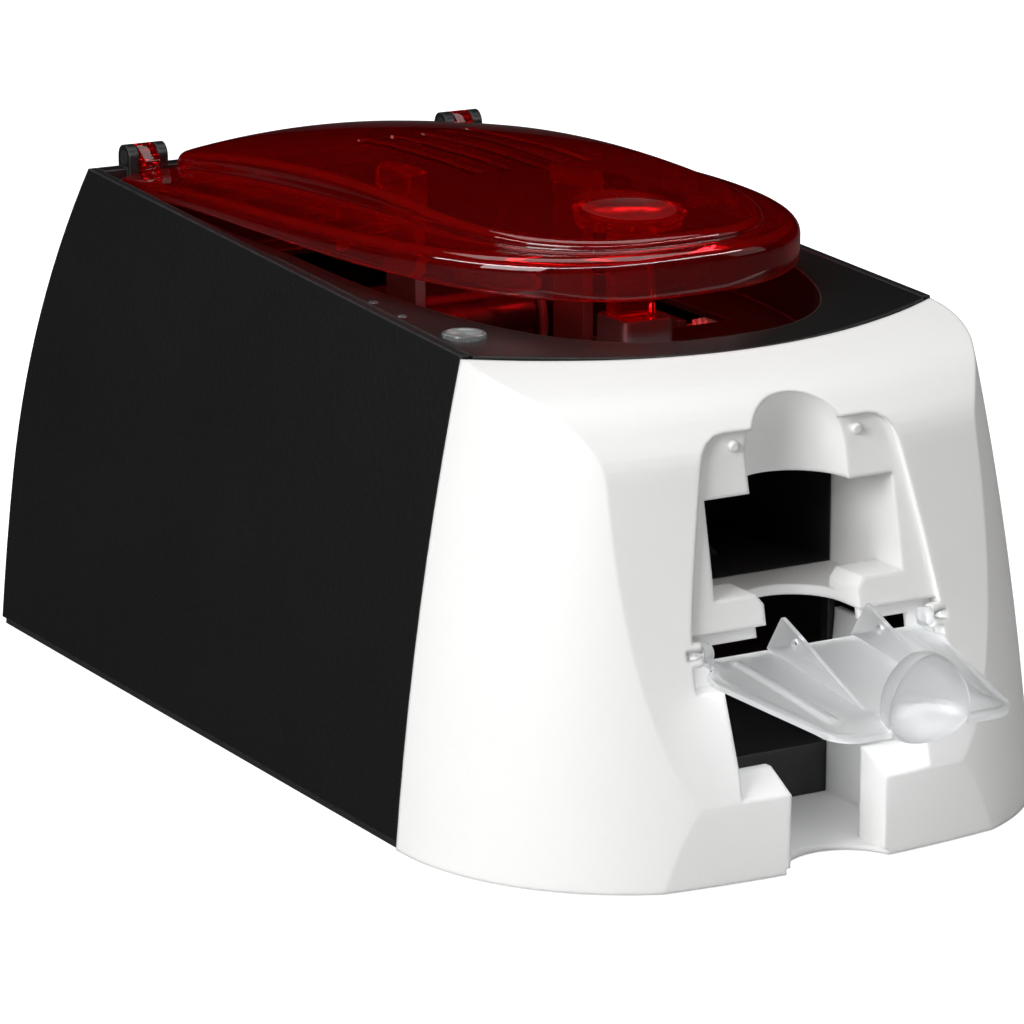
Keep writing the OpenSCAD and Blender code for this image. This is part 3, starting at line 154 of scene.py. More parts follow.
def texture_group():
    """Node group: fine pimples of a textured mould, from smooth noise at two sizes, and a slow
    cloud that varies the colour."""
    group, nodes, link, given, result = empty_group(
        "mould_texture", vectors=["Place"], numbers=["Pitch"], results=["Height", "Cloud"])
    pimples, cloud, pits, half, both = new_nodes(nodes, "TexNoise", "TexNoise", "TexNoise", "Math", "Math")
    pimples.inputs["Detail"].default_value = 3
    cloud.inputs["Scale"].default_value = 22
    cloud.inputs["Detail"].default_value = 4
    pits.inputs["Detail"].default_value = 1
    half.operation, both.operation = "MULTIPLY", "ADD"
    half.inputs[1].default_value = 0.37
    for noise in (pimples, cloud, pits):
        link(given.outputs["Place"], noise.inputs["Vector"])
    link(given.outputs["Pitch"], pimples.inputs["Scale"])
    link(given.outputs["Pitch"], half.inputs[0])
    link(half.outputs[0], pits.inputs["Scale"])
    link(pimples.outputs["Fac"], both.inputs[0])
    link(pits.outputs["Fac"], both.inputs[1])
    link(both.outputs[0], result.inputs["Height"])
    link(cloud.outputs["Fac"], result.inputs["Cloud"])
    return group


def wear_group():
    """Node group: how far the rounded normal leans from the flat one, broken up by noise, so it
    is 1 on worn edges and 0 on faces."""
    group, nodes, link, given, result = empty_group(
        "edge_wear", vectors=["Place", "Round normal", "Flat normal"], numbers=[], results=["Wear"])
    lean, edge, patch, broken = new_nodes(nodes, "VectorMath", "MapRange", "TexNoise", "Math")
    lean.operation, broken.operation = "DOT_PRODUCT", "MULTIPLY"
    edge.inputs["From Min"].default_value, edge.inputs["From Max"].default_value = 0.995, 0.86
    patch.inputs["Scale"].default_value = 260
    patch.inputs["Detail"].default_value = 4
    link(given.outputs["Round normal"], lean.inputs[0])
    link(given.outputs["Flat normal"], lean.inputs[1])
    link(lean.outputs["Value"], edge.inputs["Value"])
    link(given.outputs["Place"], patch.inputs["Vector"])
    link(edge.outputs[0], broken.inputs[0])
    link(patch.outputs["Fac"], broken.inputs[1])
    link(broken.outputs[0], result.inputs["Wear"])
    return group


mould_texture, edge_wear = texture_group(), wear_group()


def set_tints(mix, colour, spread):
    """Sets the ends of a colour mix to colour made darker and paler by spread."""
    mix.data_type = "RGBA"
    mix.inputs["A"].default_value = (*[c * (1 - spread) for c in colour], 1)
    mix.inputs["B"].default_value = (*[min(1, c * (1 + spread)) for c in colour], 1)


def moulding(name, colour, rough, pitch=2600.0, depth=0.00006, edge=0.0006, spread=0.1, shine=0.5,
             metal=0.0, worn=0.25):
    """Opaque material: colour clouded by spread, mould texture of the given pitch and depth, edges
    rounded over edge metres and paler by worn."""
    made = bpy.data.materials.new(name)
    made.use_nodes = True
    nodes, link = made.node_tree.nodes, made.node_tree.links.new
    shader = nodes["Principled BSDF"]
    shader.inputs["Specular IOR Level"].default_value = shine
    shader.inputs["Metallic"].default_value = metal
    where, shape, texture, wear, rounded, bump, tint, rub, gloss = new_nodes(
        nodes, "TexCoord", "NewGeometry", "Group", "Group", "Bevel", "Bump", "Mix", "Mix", "MapRange")
    texture.node_tree, wear.node_tree = mould_texture, edge_wear
    texture.inputs["Pitch"].default_value = pitch
    rounded.samples = 6
    rounded.inputs["Radius"].default_value = edge
    bump.inputs["Distance"].default_value = depth
    bump.inputs["Strength"].default_value = 1.0
    link(where.outputs["Object"], texture.inputs["Place"])
    link(where.outputs["Object"], wear.inputs["Place"])
    link(rounded.outputs["Normal"], wear.inputs["Round normal"])
    link(shape.outputs["Normal"], wear.inputs["Flat normal"])
    link(texture.outputs["Height"], bump.inputs["Height"])
    link(rounded.outputs["Normal"], bump.inputs["Normal"])
    link(bump.outputs["Normal"], shader.inputs["Normal"])
    set_tints(tint, colour, spread)
    rub.data_type = "RGBA"
    rub.inputs["B"].default_value = (*[c + (1 - c) * worn * 0.3 for c in colour], 1)
    gloss.inputs["To Min"].default_value = rough * 0.88
    gloss.inputs["To Max"].default_value = min(1, rough * 1.12)
    link(texture.outputs["Cloud"], tint.inputs["Factor"])
    link(texture.outputs["Cloud"], gloss.inputs["Value"])
    link(tint.outputs["Result"], rub.inputs["A"])
    link(wear.outputs["Wear"], rub.inputs["Factor"])
    link(rub.outputs["Result"], shader.inputs["Base Color"])
    link(gloss.outputs["Result"], shader.inputs["Roughness"])
    return made


def dress(material, *names):
    """Gives CAD nodes their material."""
    for name in names:
        mesh = cad[name].data
        mesh.materials.clear()
        mesh.materials.append(material)


side_black = moulding("side_black", (0.0056, 0.0056, 0.006), 0.6, pitch=1500, depth=0.00022, edge=0.0009,
                      shine=0.16)
dress(side_black, "left_side_panel", "right_side_panel", "rear_panel")
tray_black = moulding("tray_black", (0.012, 0.012, 0.0125), 0.5, pitch=2200, edge=0.0004)
dress(tray_black, "base_tray", "power_jack", "lid_pins")

# ---------------------------------------------------------------- Front moulding
# One white moulding wraps the whole front: the leaning face, the rounded corners and the roof
# edge, with the feeder bay, its finger scoop, the recess of the flap and the output bay in it.

front_white = moulding("front_white", (0.86, 0.86, 0.85), 0.42, pitch=3200, depth=0.00003, edge=0.0015,
                       spread=0.012, worn=0.05)
dress(front_white, "front_panel")

# ---------------------------------------------------------------- Deck
# A smooth black deck under the lid, sunk into a well that ends in a rounded nose, with the
# ears that hold the pins of the lid.

deck_black = moulding("deck_black", (0.0065, 0.0062, 0.0062), 0.36, pitch=3000, depth=0.00002, edge=0.0007,
                      shine=0.3)
dress(deck_black, "top_deck")

# ---------------------------------------------------------------- Lid
# A see-through red lid: a crowned middle with five grooves and a finger dimple, a shoulder, and
# a rounded rim that stands clear of the deck. It is injection moulded in one piece of polished
# acrylic, with its ribs, latch post, head pads and the two knuckles that turn on the steel pins.

# Sizes in millimetres, and the places where the frame's joints turn: skins, outlines in plan,
# grooves, dimple and the thick pad beneath it, then the rounds of the crown's edge, of its foot,
# of the rim, of the lip and of the nook inside the rim, and last the knuckles.
mm = 0.001
pivots = {joint["name"]: np.array(joint["pos_m"]) / mm for joint in frame["joints"] if "pos_m" in joint}
wall, skin_gap = 2.2, 0.05
crown_tip, crown_rear = -54.8, 136
lid_tip, lid_rear, rear_half, rear_corner = -62, 142.8, 63.8, 6
groove_pitch, groove_stagger, groove_start, groove_run = 8.4, 0.25, 15, 62
# The last groove size on the next line is how far from a groove's middle line the painted shade in it
# reaches.
groove_lanes, groove_half, groove_deep, groove_soft, groove_shade_reach = 5, 1.5, 1.5, 0.45, 1.3
dimple_y, dimple_deep, ball_r, dimple_reach, dimple_round = -31, 2.6, 32.6, 20, 0.8
dull_most, dull_none = 12.0, 12.8
pad_r, pad_soft, pad_thick = 14.4, 0.9, 6
brow_round, foot_round, rim_round, lip_round, nook_round = 2.2, 1.0, 3.4, 0.5, 0.8
brow_drop, rim_drop = 2.4, 3.6
pin = pivots["lid_hinge"][1:]
boss_r, bore_r, knuckle_in, knuckle_out, knuckle_round = 3.6, 1.86, 48.4, 53.6, 0.3


def egg_width(y, wide, middle, tip, rear_wide, rear, power, corner):
    """Half width of an egg outline at y: a superellipse of the given power from tip to middle, a
    straight taper from there to the rear, and a quarter round of radius corner at the end."""
    front = wide * (1 - np.clip((middle - y) / (middle - tip), 0, 1) ** power) ** (1 / power)
    taper = wide + (rear_wide - wide) * np.clip((y - middle) / (rear - middle), 0, 1)
    past = np.clip(y - rear + corner, 0, corner)
    return np.where(y < middle, front, taper) - corner + np.sqrt(corner ** 2 - past ** 2)


def bow(along, top, bend, middle=0):
    """Height at along of an arc of radius bend, highest with top at middle."""
    return top - bend + np.sqrt(bend ** 2 - (along - middle) ** 2)


def rim_height(y):
    """Lower edge of the lid: an arc seen from the side, highest at y 35."""
    return bow(y, top=134.528, bend=1330, middle=35)


def shoulder_height(x, y):
    """Shoulder: an arc along the lid that sags by a parabola of radius 647 across."""
    return bow(y, top=144.028 - x ** 2 / (2 * 647), bend=1300)


def crown_height(x, y):
    """Crown: a ring surface, 663 along the lid at its ridge and 270 across it, highest at y 33."""
    ridge_bend, cross_bend = 663, 270
    bend = ridge_bend - cross_bend + np.sqrt(cross_bend ** 2 - x ** 2)
    return 151.615 - ridge_bend + np.sqrt(bend ** 2 - (y - 33) ** 2)


def quads(rows, columns, closed=False):
    """Corner numbers of the faces of a grid of points; closed joins its last column to its first."""
    row, column = np.meshgrid(np.arange(rows - 1), np.arange(columns - (not closed)), indexing="ij")
    start, turn = row * columns + column, row * columns + (column + 1) % columns
    return np.stack([start, turn, turn + columns, start + columns], -1).reshape(-1, 4)


def outward(loop):
    """Unit normals in plan of a closed loop of points that runs anticlockwise seen from above."""
    step = np.roll(loop, -1, 0) - np.roll(loop, 1, 0)
    away = np.stack([step[:, 1], -step[:, 0]], 1)
    return away / np.linalg.norm(away, axis=1)[:, None]


def circle(radius, angles):
    """Points at the given angles on a circle about the origin of the plan."""
    return radius * np.stack([np.cos(angles), np.sin(angles)], 1)


def reach(outline, centre, angles):
    """Points where rays from centre at the given angles meet a closed outline."""
    out = outline - centre
    turn, far = np.arctan2(out[:, 1], out[:, 0]), np.hypot(out[:, 0], out[:, 1])
    order = np.argsort(turn)
    hit = np.interp(angles, turn[order], far[order], period=2 * np.pi)
    return centre + hit[:, None] * circle(1, angles)


def hull_line(points, steps):
    """Closed line round the convex hull of points, with each of its sides cut into steps."""
    hull = points[convex_hull_2d([Vector(p) for p in points])]
    share = np.linspace(0, 1, steps, endpoint=False)[:, None, None]
    return (hull[None] + share * (np.roll(hull, -1, 0) - hull)[None]).reshape(-1, 2)


def between(first, last, share):
    """Value that lies share of the way from first to last."""
    return first * (1 - share) + last * share


def smooth_step(value):
    """0 below 0, 1 above 1, and three squared less two cubed between."""
    value = np.clip(value, 0, 1)
    return value * value * (3 - 2 * value)


def shell(upper, lower, border):
    """Closed part from two grids of like size and a band of points that joins their edges."""
    rows, columns = upper.shape[:2]
    points = np.concatenate([face.reshape(-1, 3) for face in (upper, lower, border)])
    faces = [quads(rows, columns), quads(rows, columns)[:, ::-1] + rows * columns,
             quads(len(border), border.shape[1], closed=True) + 2 * rows * columns]
    return points, np.concatenate(faces)


def piece_from(name, parts, sharp=40):
    """One object from (points in millimetres, faces) parts: doubles merged, faces turned outwards,
    edges sharper than the given angle left crisp."""
    shape = bmesh.new()
    for points, faces in parts:
        corners = [shape.verts.new(p) for p in (np.asarray(points).reshape(-1, 3) * mm).tolist()]
        part_faces = [shape.faces.new([corners[i] for i in face]) for face in faces]
        bmesh.ops.remove_doubles(shape, verts=corners, dist=1e-6)
        part_faces = [face for face in part_faces if face.is_valid]
        bmesh.ops.recalc_face_normals(shape, faces=part_faces)
    mesh = bpy.data.meshes.new(name)
    shape.to_mesh(mesh)
    shape.free()
    mesh.polygons.foreach_set("use_smooth", np.ones(len(mesh.polygons), dtype=bool))
    mesh.set_sharp_from_angle(angle=math.radians(sharp))
    made = bpy.data.objects.new(name, mesh)
    bpy.context.scene.collection.objects.link(made)
    return made


def tube(rings):
    """Part from like rings of points, each joined to the next."""
    rings = np.array(rings)
    return rings, quads(len(rings), rings.shape[1], closed=True)


def superellipse(wide, deep, power, turn):
    """Plan places, at the angles of turn, on a superellipse of the given half sizes and power."""
    places = ((wide, np.cos(turn)), (deep, np.sin(turn)))
    return [half * np.sign(v) * np.abs(v) ** (2 / power) for half, v in places]


def block(x0, x1, y0, y1, low, high, power=8, sides=40):
    """Closed post whose section is a superellipse in plan; low and high give its ends as heights
    over plan points."""
    turn = np.linspace(0, 2 * np.pi, sides, endpoint=False)
    side_x, side_y = superellipse((x1 - x0) / 2, (y1 - y0) / 2, power, turn)
    rings = []
    for shrink, share in ((0, 0), (0.9, 0), (1, 0.06), (1, 0.94), (0.9, 1), (0, 1)):
        x, y = (x0 + x1) / 2 + side_x * shrink, (y0 + y1) / 2 + side_y * shrink
        rings.append(np.stack([x, y, between(low(x, y), high(x, y), share)], 1))
    return tube(rings)


# Crown, as a grid that is finer across its middle, where the grooves lie, and at its two ends
rows, columns = 200, 131
along = np.linspace(0, 1, rows)
across = np.linspace(-1, 1, columns)
crown_y = crown_tip + (crown_rear - crown_tip) * (0.5 * along + 0.25 * (1 - np.cos(np.pi * along)))
crown_w = egg_width(crown_y, wide=42.4, middle=5, tip=crown_tip, rear_wide=44.8, rear=crown_rear, power=2.5,
                    corner=4)
plan_x = crown_w[:, None] * (across * (0.62 + 0.38 * across ** 2))[None, :]
plan_y = np.repeat(crown_y[:, None], columns, 1)

# Round-ended grooves in a row, each starting a little further back the further out it lies
dip = np.zeros_like(plan_x)
for lane in range(-(groove_lanes // 2), groove_lanes // 2 + 1):
    start = groove_start + abs(lane) * groove_pitch * groove_stagger
    beside = plan_x - lane * groove_pitch
    beyond = plan_y - np.clip(plan_y, start, start + groove_run)
    dip = np.maximum(dip, groove_deep * smooth_step((groove_half - np.hypot(beside, beyond)) / groove_soft))
top = crown_height(plan_x, plan_y) - dip

# Finger dimple: a ball pressed in from above, with a soft rim, over a pad that keeps the wall thick
dimple_top = crown_height(0.0, dimple_y)
from_dimple = np.hypot(plan_x, plan_y - dimple_y)
ball = dimple_top + (ball_r - dimple_deep) - np.sqrt(
    np.maximum(0, ball_r ** 2 - plan_x ** 2 - (plan_y - dimple_y) ** 2))
blend = np.clip(0.5 + (ball - top) / dimple_round, 0, 1)
pressed = ball + (top - ball) * blend - dimple_round / 2 * blend * (1 - blend)
top = np.where(from_dimple < dimple_reach, pressed, top)
pad = smooth_step((pad_r - from_dimple) / pad_soft)
beneath = between(crown_height(plan_x, plan_y) - wall, dimple_top - pad_thick, pad)
upper = np.stack([plan_x, plan_y, top], -1)
lower = np.stack([plan_x, plan_y, beneath], -1)

# The wall of the crown stands on its foot line. Rays from a hub lead from there to the rim line.
edge = np.concatenate([upper[:, -1], upper[-1, -2::-1], upper[-2:0:-1, 0]])[:, :2]
off = outward(edge)
foot = edge + brow_round * off
side_y = lid_tip + (lid_rear - lid_tip) * (1 - np.cos(np.linspace(0, np.pi, 3000))) / 2
side_w = egg_width(side_y, wide=66, middle=60, tip=lid_tip, rear_wide=rear_half, rear=lid_rear, power=2.6,
                   corner=rear_corner)
rear_x = np.linspace(rear_corner - rear_half, rear_half - rear_corner, 400)
outline = np.concatenate([np.stack([side_w, side_y], 1), np.stack([-side_w, side_y], 1),
                          np.stack([rear_x, np.full(400, lid_rear)], 1)])
hub = np.array([0.0, 45.0])
rim = reach(outline, hub, np.arctan2(foot[:, 1] - hub[1], foot[:, 0]))
rim_off = outward(rim)


def ring(plan, height):
    """Loop of points over a plan loop."""
    return np.column_stack([plan, height])


def over(plan):
    """Shoulder height over a plan loop."""
    return shoulder_height(plan[:, 0], plan[:, 1])


def crest(plan):
    """Crown height over a plan loop."""
    return crown_height(plan[:, 0], plan[:, 1])


def hem(plan):
    """Height of the lid's lower edge over a plan loop."""
    return rim_height(plan[:, 1])


brow = np.minimum(brow_drop, 0.6 * (crest(foot) - over(foot)))
drop = np.minimum(rim_drop, 0.75 * (over(rim) - hem(rim) - lip_round))
quarter = np.radians(np.linspace(0, 90, 9))
inner = foot - wall * off
shelf = rim - (wall + nook_round) * rim_off
lip = rim - wall * rim_off
slope = rim - rim_round * rim_off
base = foot + foot_round * off
loops = []
# Down the inside of the crown's wall, out under the shoulder and round the nook
for share in np.linspace(0, 1, 5):
    loops.append(ring(inner, between(crest(inner) - wall, over(inner) - wall, share)))
for share in np.linspace(0.1, 1, 9):
    plan = between(inner, shelf, share)
    loops.append(ring(plan, over(plan) - wall))
for bend in quarter[2::2]:
    plan = shelf + nook_round * math.sin(bend) * rim_off
    loops.append(ring(plan, over(plan) - wall - nook_round * (1 - math.cos(bend))))
# Down the inside of the rim, round the lip and up the outside
for share in (0.35, 0.7, 1):
    loops.append(ring(lip, between(over(lip) - wall - nook_round, hem(lip) + lip_round, share)))
for bend in quarter[2::2]:
    plan = lip + lip_round * (1 - math.cos(bend)) * rim_off
    loops.append(ring(plan, hem(plan) + lip_round * (1 - math.sin(bend))))
for bend in quarter[:-1:2]:
    plan = rim - lip_round * (1 - math.sin(bend)) * rim_off
    loops.append(ring(plan, hem(plan) + lip_round * (1 - math.cos(bend))))
for share in (0, 0.5):
    loops.append(ring(rim, between(hem(rim) + lip_round, over(rim) - drop, share)))
# Over the rim, in along the shoulder and up the outside of the crown's wall to its edge
for bend in quarter:
    plan = rim - rim_round * (1 - math.cos(bend)) * rim_off
    loops.append(ring(plan, over(plan) - drop * (1 - math.sin(bend))))
for share in np.linspace(0.1, 1, 10):
    plan = between(slope, base, share)
    loops.append(ring(plan, over(plan)))
for bend in quarter[2::2]:
    plan = foot + foot_round * (1 - math.sin(bend)) * off
    loops.append(ring(plan, over(plan) + foot_round * (1 - math.cos(bend))))
for share in (0.5, 1):
    loops.append(ring(foot, between(over(foot) + foot_round, crest(foot) - brow, share)))
for bend in quarter[1:]:
    plan = foot - brow_round * (1 - math.cos(bend)) * off
    loops.append(ring(plan, crest(plan) - brow * (1 - math.sin(bend))))
lid_parts = [shell(upper, lower, np.array(loops))]
hook_tip, hook_root = -37.5, -34


def level(height):
    """Height over plan points that is the same everywhere."""
    return lambda x, y: height + 0 * x


def over_rim(x, y):
    """Height of the ribs' lower edge, a little above the lid's."""
    return rim_height(y) + 1


def hook_height(x, y):
    """Upper face of the latch hook, which slopes up from its tip."""
    return 119.5 + 0.5 * (y - hook_tip)


def under_shoulder(x, y):
    """Height just under the shoulder's inner skin."""
    return shoulder_height(x, y) - wall - skin_gap


def under_crown(x, y):
    """Height just under the crown's inner skin."""
    return crown_height(x, y) - wall - skin_gap


# Ribs in the shoulder, pads that push on the print head, and the post of the latch with its hook
rib_start, rib_long, rib_thick = 44.9, 15.6, 1.2
push_wide, push_front, push_rear, push_low = 6, 30, 50, 138.63
post_half, post_front, post_rear, post_low = 6, -35, -29, 117
for y in (12, 40, 80, 124):
    for side in (-1, 1):
        rib_left = side * rib_start - (side < 0) * rib_long
        rib_right = side * rib_start + (side > 0) * rib_long
        lid_parts.append(block(rib_left, rib_right, y, y + rib_thick, over_rim, under_shoulder))
for x in (-30, 24):
    lid_parts.append(block(x, x + push_wide, push_front, push_rear, level(push_low), under_crown))
post_top = dimple_top - pad_thick - skin_gap
lid_parts.append(block(-post_half, post_half, post_front, post_rear, level(post_low), level(post_top)))
lid_parts.append(block(-post_half, post_half, hook_tip, hook_root, level(post_low), hook_height, power=6))

# Knuckles: a boss round each pin, drawn out to the rear wall of the lid, with a bore
knuckle_sides = 72
turn = np.linspace(-np.pi, np.pi, knuckle_sides + 1)[:-1]
rear_wall = [[140.8, 134.0], [142.8, 133.7], [140.8, 137.2], [142.8, 138.0]]
boss = np.concatenate([pin + circle(boss_r, turn), rear_wall])
skin_line = reach(hull_line(boss, 40), pin, turn)
bore = pin + circle(bore_r, turn)
bevel = bore * 0.1 + skin_line * 0.9
for side in (-1, 1):
    stations = ((knuckle_in, bore), (knuckle_in, bevel), (knuckle_in + knuckle_round, skin_line),
                (knuckle_out - knuckle_round, skin_line), (knuckle_out, bevel), (knuckle_out, bore),
                (knuckle_in, bore))
    rings = [np.column_stack([np.full(knuckle_sides, side * x), line]) for x, line in stations]
    lid_parts.append(tube(rings))


def see_through(name, colour, spread, clear, ior, gloss, grain, uneven, passed):
    """Clear plastic: colour clouded by spread, roughness running between the two values of gloss and
    a surface uneven by so many metres, both from noise of scale grain. Shadows let passed through."""
    made = bpy.data.materials.new(name)
    made.use_nodes = True
    nodes, link = made.node_tree.nodes, made.node_tree.links.new
    shader = nodes["Principled BSDF"]
    shader.inputs["Transmission Weight"].default_value = clear
    shader.inputs["IOR"].default_value = ior
    where, cloud, haze, tint, rough, bump = new_nodes(
        nodes, "TexCoord", "TexNoise", "TexNoise", "Mix", "MapRange", "Bump")
    let, ray, pick = new_nodes(nodes, "BsdfTransparent", "LightPath", "MixShader")
    cloud.inputs["Scale"].default_value, haze.inputs["Scale"].default_value = 30, grain
    set_tints(tint, colour, spread)
    rough.inputs["To Min"].default_value, rough.inputs["To Max"].default_value = gloss
    bump.inputs["Distance"].default_value = uneven
    let.inputs["Color"].default_value = (*passed, 1)
    link(where.outputs["Object"], cloud.inputs["Vector"])
    link(where.outputs["Object"], haze.inputs["Vector"])
    link(cloud.outputs["Fac"], tint.inputs["Factor"])
    link(haze.outputs["Fac"], rough.inputs["Value"])
    link(haze.outputs["Fac"], bump.inputs["Height"])
    link(tint.outputs["Result"], shader.inputs["Base Color"])
    link(rough.outputs["Result"], shader.inputs["Roughness"])
    link(bump.outputs["Normal"], shader.inputs["Normal"])
    link(ray.outputs["Is Shadow Ray"], pick.inputs["Fac"])
    link(shader.outputs[0], pick.inputs[1])
    link(let.outputs[0], pick.inputs[2])
    link(pick.outputs[0], nodes["Material Output"].inputs["Surface"])
    return made, nodes, link, tint, rough


def groove_group():
    """Node group: 1 inside the round-ended grooves, the mask of the painted shade in them. The nearest
    lane is the sideways place over the pitch, rounded, and a groove is all that lies near enough to its
    lane's middle line."""
    group, nodes, link, given, result = empty_group(
        "groove_mask", vectors=["Place"], numbers=[], results=["Groove"])
    split = nodes.new("ShaderNodeSeparateXYZ")
    link(given.outputs["Place"], split.inputs[0])

    def step(kind, first, second=0.0):
        """Result of one maths node on two sockets or numbers."""
        node = nodes.new("ShaderNodeMath")
        node.operation = kind
        for socket, value in zip(node.inputs, (first, second)):
            if isinstance(value, float):
                socket.default_value = value
            else:
                link(value, socket)
        return node.outputs[0]

    lane = step("ROUND", step("DIVIDE", split.outputs["X"], groove_pitch * mm))
    beside = step("SUBTRACT", split.outputs["X"], step("MULTIPLY", lane, groove_pitch * mm))
    lane_out = step("ABSOLUTE", lane)
    middle = step("ADD", step("MULTIPLY", lane_out, groove_pitch * groove_stagger * mm),
                  (groove_start + groove_run / 2) * mm)
    from_middle = step("ABSOLUTE", step("SUBTRACT", split.outputs["Y"], middle))
    past = step("MAXIMUM", step("SUBTRACT", from_middle, groove_run / 2 * mm), 0.0)
    far = step("SQRT", step("ADD", step("MULTIPLY", beside, beside), step("MULTIPLY", past, past)))
    near = step("LESS_THAN", far, groove_shade_reach * mm)
    mask = step("MULTIPLY", near, step("LESS_THAN", lane_out, groove_lanes / 2))
    link(mask, result.inputs["Groove"])
    return group


# The grooves are painted a darker red, a painted shade for the dark that falls in them. The mould
# leaves the dimple dull: the roughness is at its most within dull_most of the centre, and back to that
# of the polished lid at dull_none.
lid_red, red_nodes, red_link, red_tint, red_gloss = see_through(
    "lid_red", (0.76, 0.0045, 0.0065), spread=0.08, clear=0.965, ior=1.46, gloss=(0.008, 0.03), grain=140,
    uneven=0.000006, passed=(0.80, 0.045, 0.04))
# Painted shade: a dark red mixed over the lid's own tint wherever the groove mask is 1.
red_groove, red_groove_shade, red_place, red_far, red_dull, red_most = new_nodes(
    red_nodes, "Group", "Mix", "TexCoord", "VectorMath", "MapRange", "Math")
red_groove.node_tree = groove_group()
red_groove_shade.data_type = "RGBA"
red_groove_shade.inputs["B"].default_value = (0.13, 0.0007, 0.0009, 1)
red_link(red_place.outputs["Object"], red_groove.inputs["Place"])
red_link(red_groove.outputs["Groove"], red_groove_shade.inputs["Factor"])
red_link(red_tint.outputs["Result"], red_groove_shade.inputs["A"])
red_link(red_groove_shade.outputs["Result"], red_nodes["Principled BSDF"].inputs["Base Color"])
red_far.operation, red_most.operation = "DISTANCE", "MAXIMUM"
red_far.inputs[1].default_value = (0, dimple_y * mm, float(dimple_top) * mm)
red_dull.inputs["From Min"].default_value = dull_none * mm
red_dull.inputs["From Max"].default_value = dull_most * mm
red_dull.inputs["To Min"].default_value, red_dull.inputs["To Max"].default_value = 0, 0.34
red_link(red_place.outputs["Object"], red_far.inputs[0])
red_link(red_far.outputs["Value"], red_dull.inputs["Value"])
red_link(red_dull.outputs["Result"], red_most.inputs[0])
red_link(red_gloss.outputs["Result"], red_most.inputs[1])
red_link(red_most.outputs["Value"], red_nodes["Principled BSDF"].inputs["Roughness"])
red_lid = piece_from("red_lid", lid_parts)
red_lid.data.materials.append(lid_red)
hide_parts("lid_shell")
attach(red_lid, "lid")

# ---------------------------------------------------------------- Loader flap
# A frosted, see-through flap, moulded in one: a thin plate with a thick border, two tall fins with
# a round hole that hold the cards back when it is shut, a hooded finger cup at its tip, and two
# arms with the pins that it turns on.

flap_y, flap_z = pivots["flap_hinge"][1:]
flap_tilt = math.radians(6.5)
flap_half, tip_half, tip_corner, flap_long, flap_root = 36, 27, 8, 50.0, 0.8
neck_half, neck_flare, neck_end, neck_soft = 31.6, 3.5, 3.6, 2.2
cup_half, cup_deep, hood_y, hood_lap, no_cut = 10.6, 10.2, -49.0, 0.1, -60
bead_half, bead_high, bead_near, bead_far = 1.3, 0.6, -2, -42


def from_hinge(across, out, up):
    """Points of the open flap: out runs back from the hinge line along the plate, up stands on it."""
    across, out, up = np.broadcast_arrays(across, out, up)
    return np.stack([across, flap_y + out * math.cos(flap_tilt) - up * math.sin(flap_tilt),
                     flap_z + out * math.sin(flap_tilt) + up * math.cos(flap_tilt)], -1)


# Outline of the plate: straight sides that draw in to round corners, a neck between the arms,
# and a cut for the cup in the tip
rows, columns = 70, 141
share = np.linspace(-1, 1, columns)
far = tip_half * share
flap_side, tip_flat = flap_long - tip_corner, tip_half - tip_corner
tip_round = np.sqrt(np.maximum(0, tip_corner ** 2 - (np.abs(far) - tip_flat) ** 2))
tip_line = np.where(np.abs(far) < tip_flat, -flap_long, -flap_side - tip_round)
cup_line = hood_y - hood_lap + cup_deep * np.sqrt(np.maximum(0, 1 - (far / cup_half) ** 2))
tip_line = np.maximum(tip_line, np.where(np.abs(far) < cup_half, cup_line, no_cut))
down = (0.5 * np.linspace(0, 1, rows) + 0.25 * (1 - np.cos(np.linspace(0, np.pi, rows))))[:, None]
plate_v = between(flap_root, tip_line[None, :], down)
plate_w = np.minimum(flap_half + (flap_half - tip_half) * plate_v / flap_side,
                     neck_half + neck_flare * smooth_step((-plate_v - neck_end) / neck_soft))
plate_w = np.maximum(plate_w, tip_half)
plate_x = share[None, :] * plate_w

# Heights of the plate: a border round a shallow field, two raised beads along it, a fall towards
# the edges, and a hem that thickens the border from below
plate_level, plate_thick, hem_thick, hem_wide = -2, 1.25, 0.9, 3
field_deep, border_wide, border_soft, edge_round, edge_wide = 0.3, 1.6, 0.7, 0.4, 0.8
bead_root, bead_slant, bead_run, bead_soft, bead_fade = 25.4, 3.2, 39, 0.5, 1.5
fall_deep, fall_wide, fall_start, cup_clear, no_edge = 2.0, 9.5, 8, 11, 9
to_side = plate_w - np.abs(plate_x)
to_tip = np.where(np.abs(plate_x) > cup_clear, plate_v - tip_line[None, :], no_edge)
near_edge = np.minimum(to_side, to_tip)
field = smooth_step((near_edge - border_wide) / border_soft)
bead_x = bead_root + bead_slant * (plate_v - bead_near) / bead_run
raised = (smooth_step((bead_half - np.abs(np.abs(plate_x) - bead_x)) / bead_soft)
          * smooth_step((plate_v - bead_far) / bead_fade) * smooth_step((bead_near - plate_v) / bead_fade))
fall = fall_deep * (1 - smooth_step(near_edge / fall_wide)) * smooth_step((bead_near - plate_v) / fall_start)
plate_high = plate_level - field_deep * field + bead_high * raised - fall
keel = plate_high - plate_thick - hem_thick * (1 - smooth_step(near_edge / hem_wide)) - bead_high * raised
edge_fall = edge_round * (1 - smooth_step(np.minimum(to_side, np.maximum(to_tip, 0)) / edge_wide))
plate_top = from_hinge(plate_x, plate_v, plate_high - edge_fall)
plate_low = from_hinge(plate_x, plate_v, keel + edge_fall)
border = [np.concatenate([face[0, :-1], face[:-1, -1], face[-1, :0:-1], face[:0:-1, 0]])
          for face in (plate_low, plate_top)]
flap_parts = [shell(plate_top, plate_low, np.array(border))]

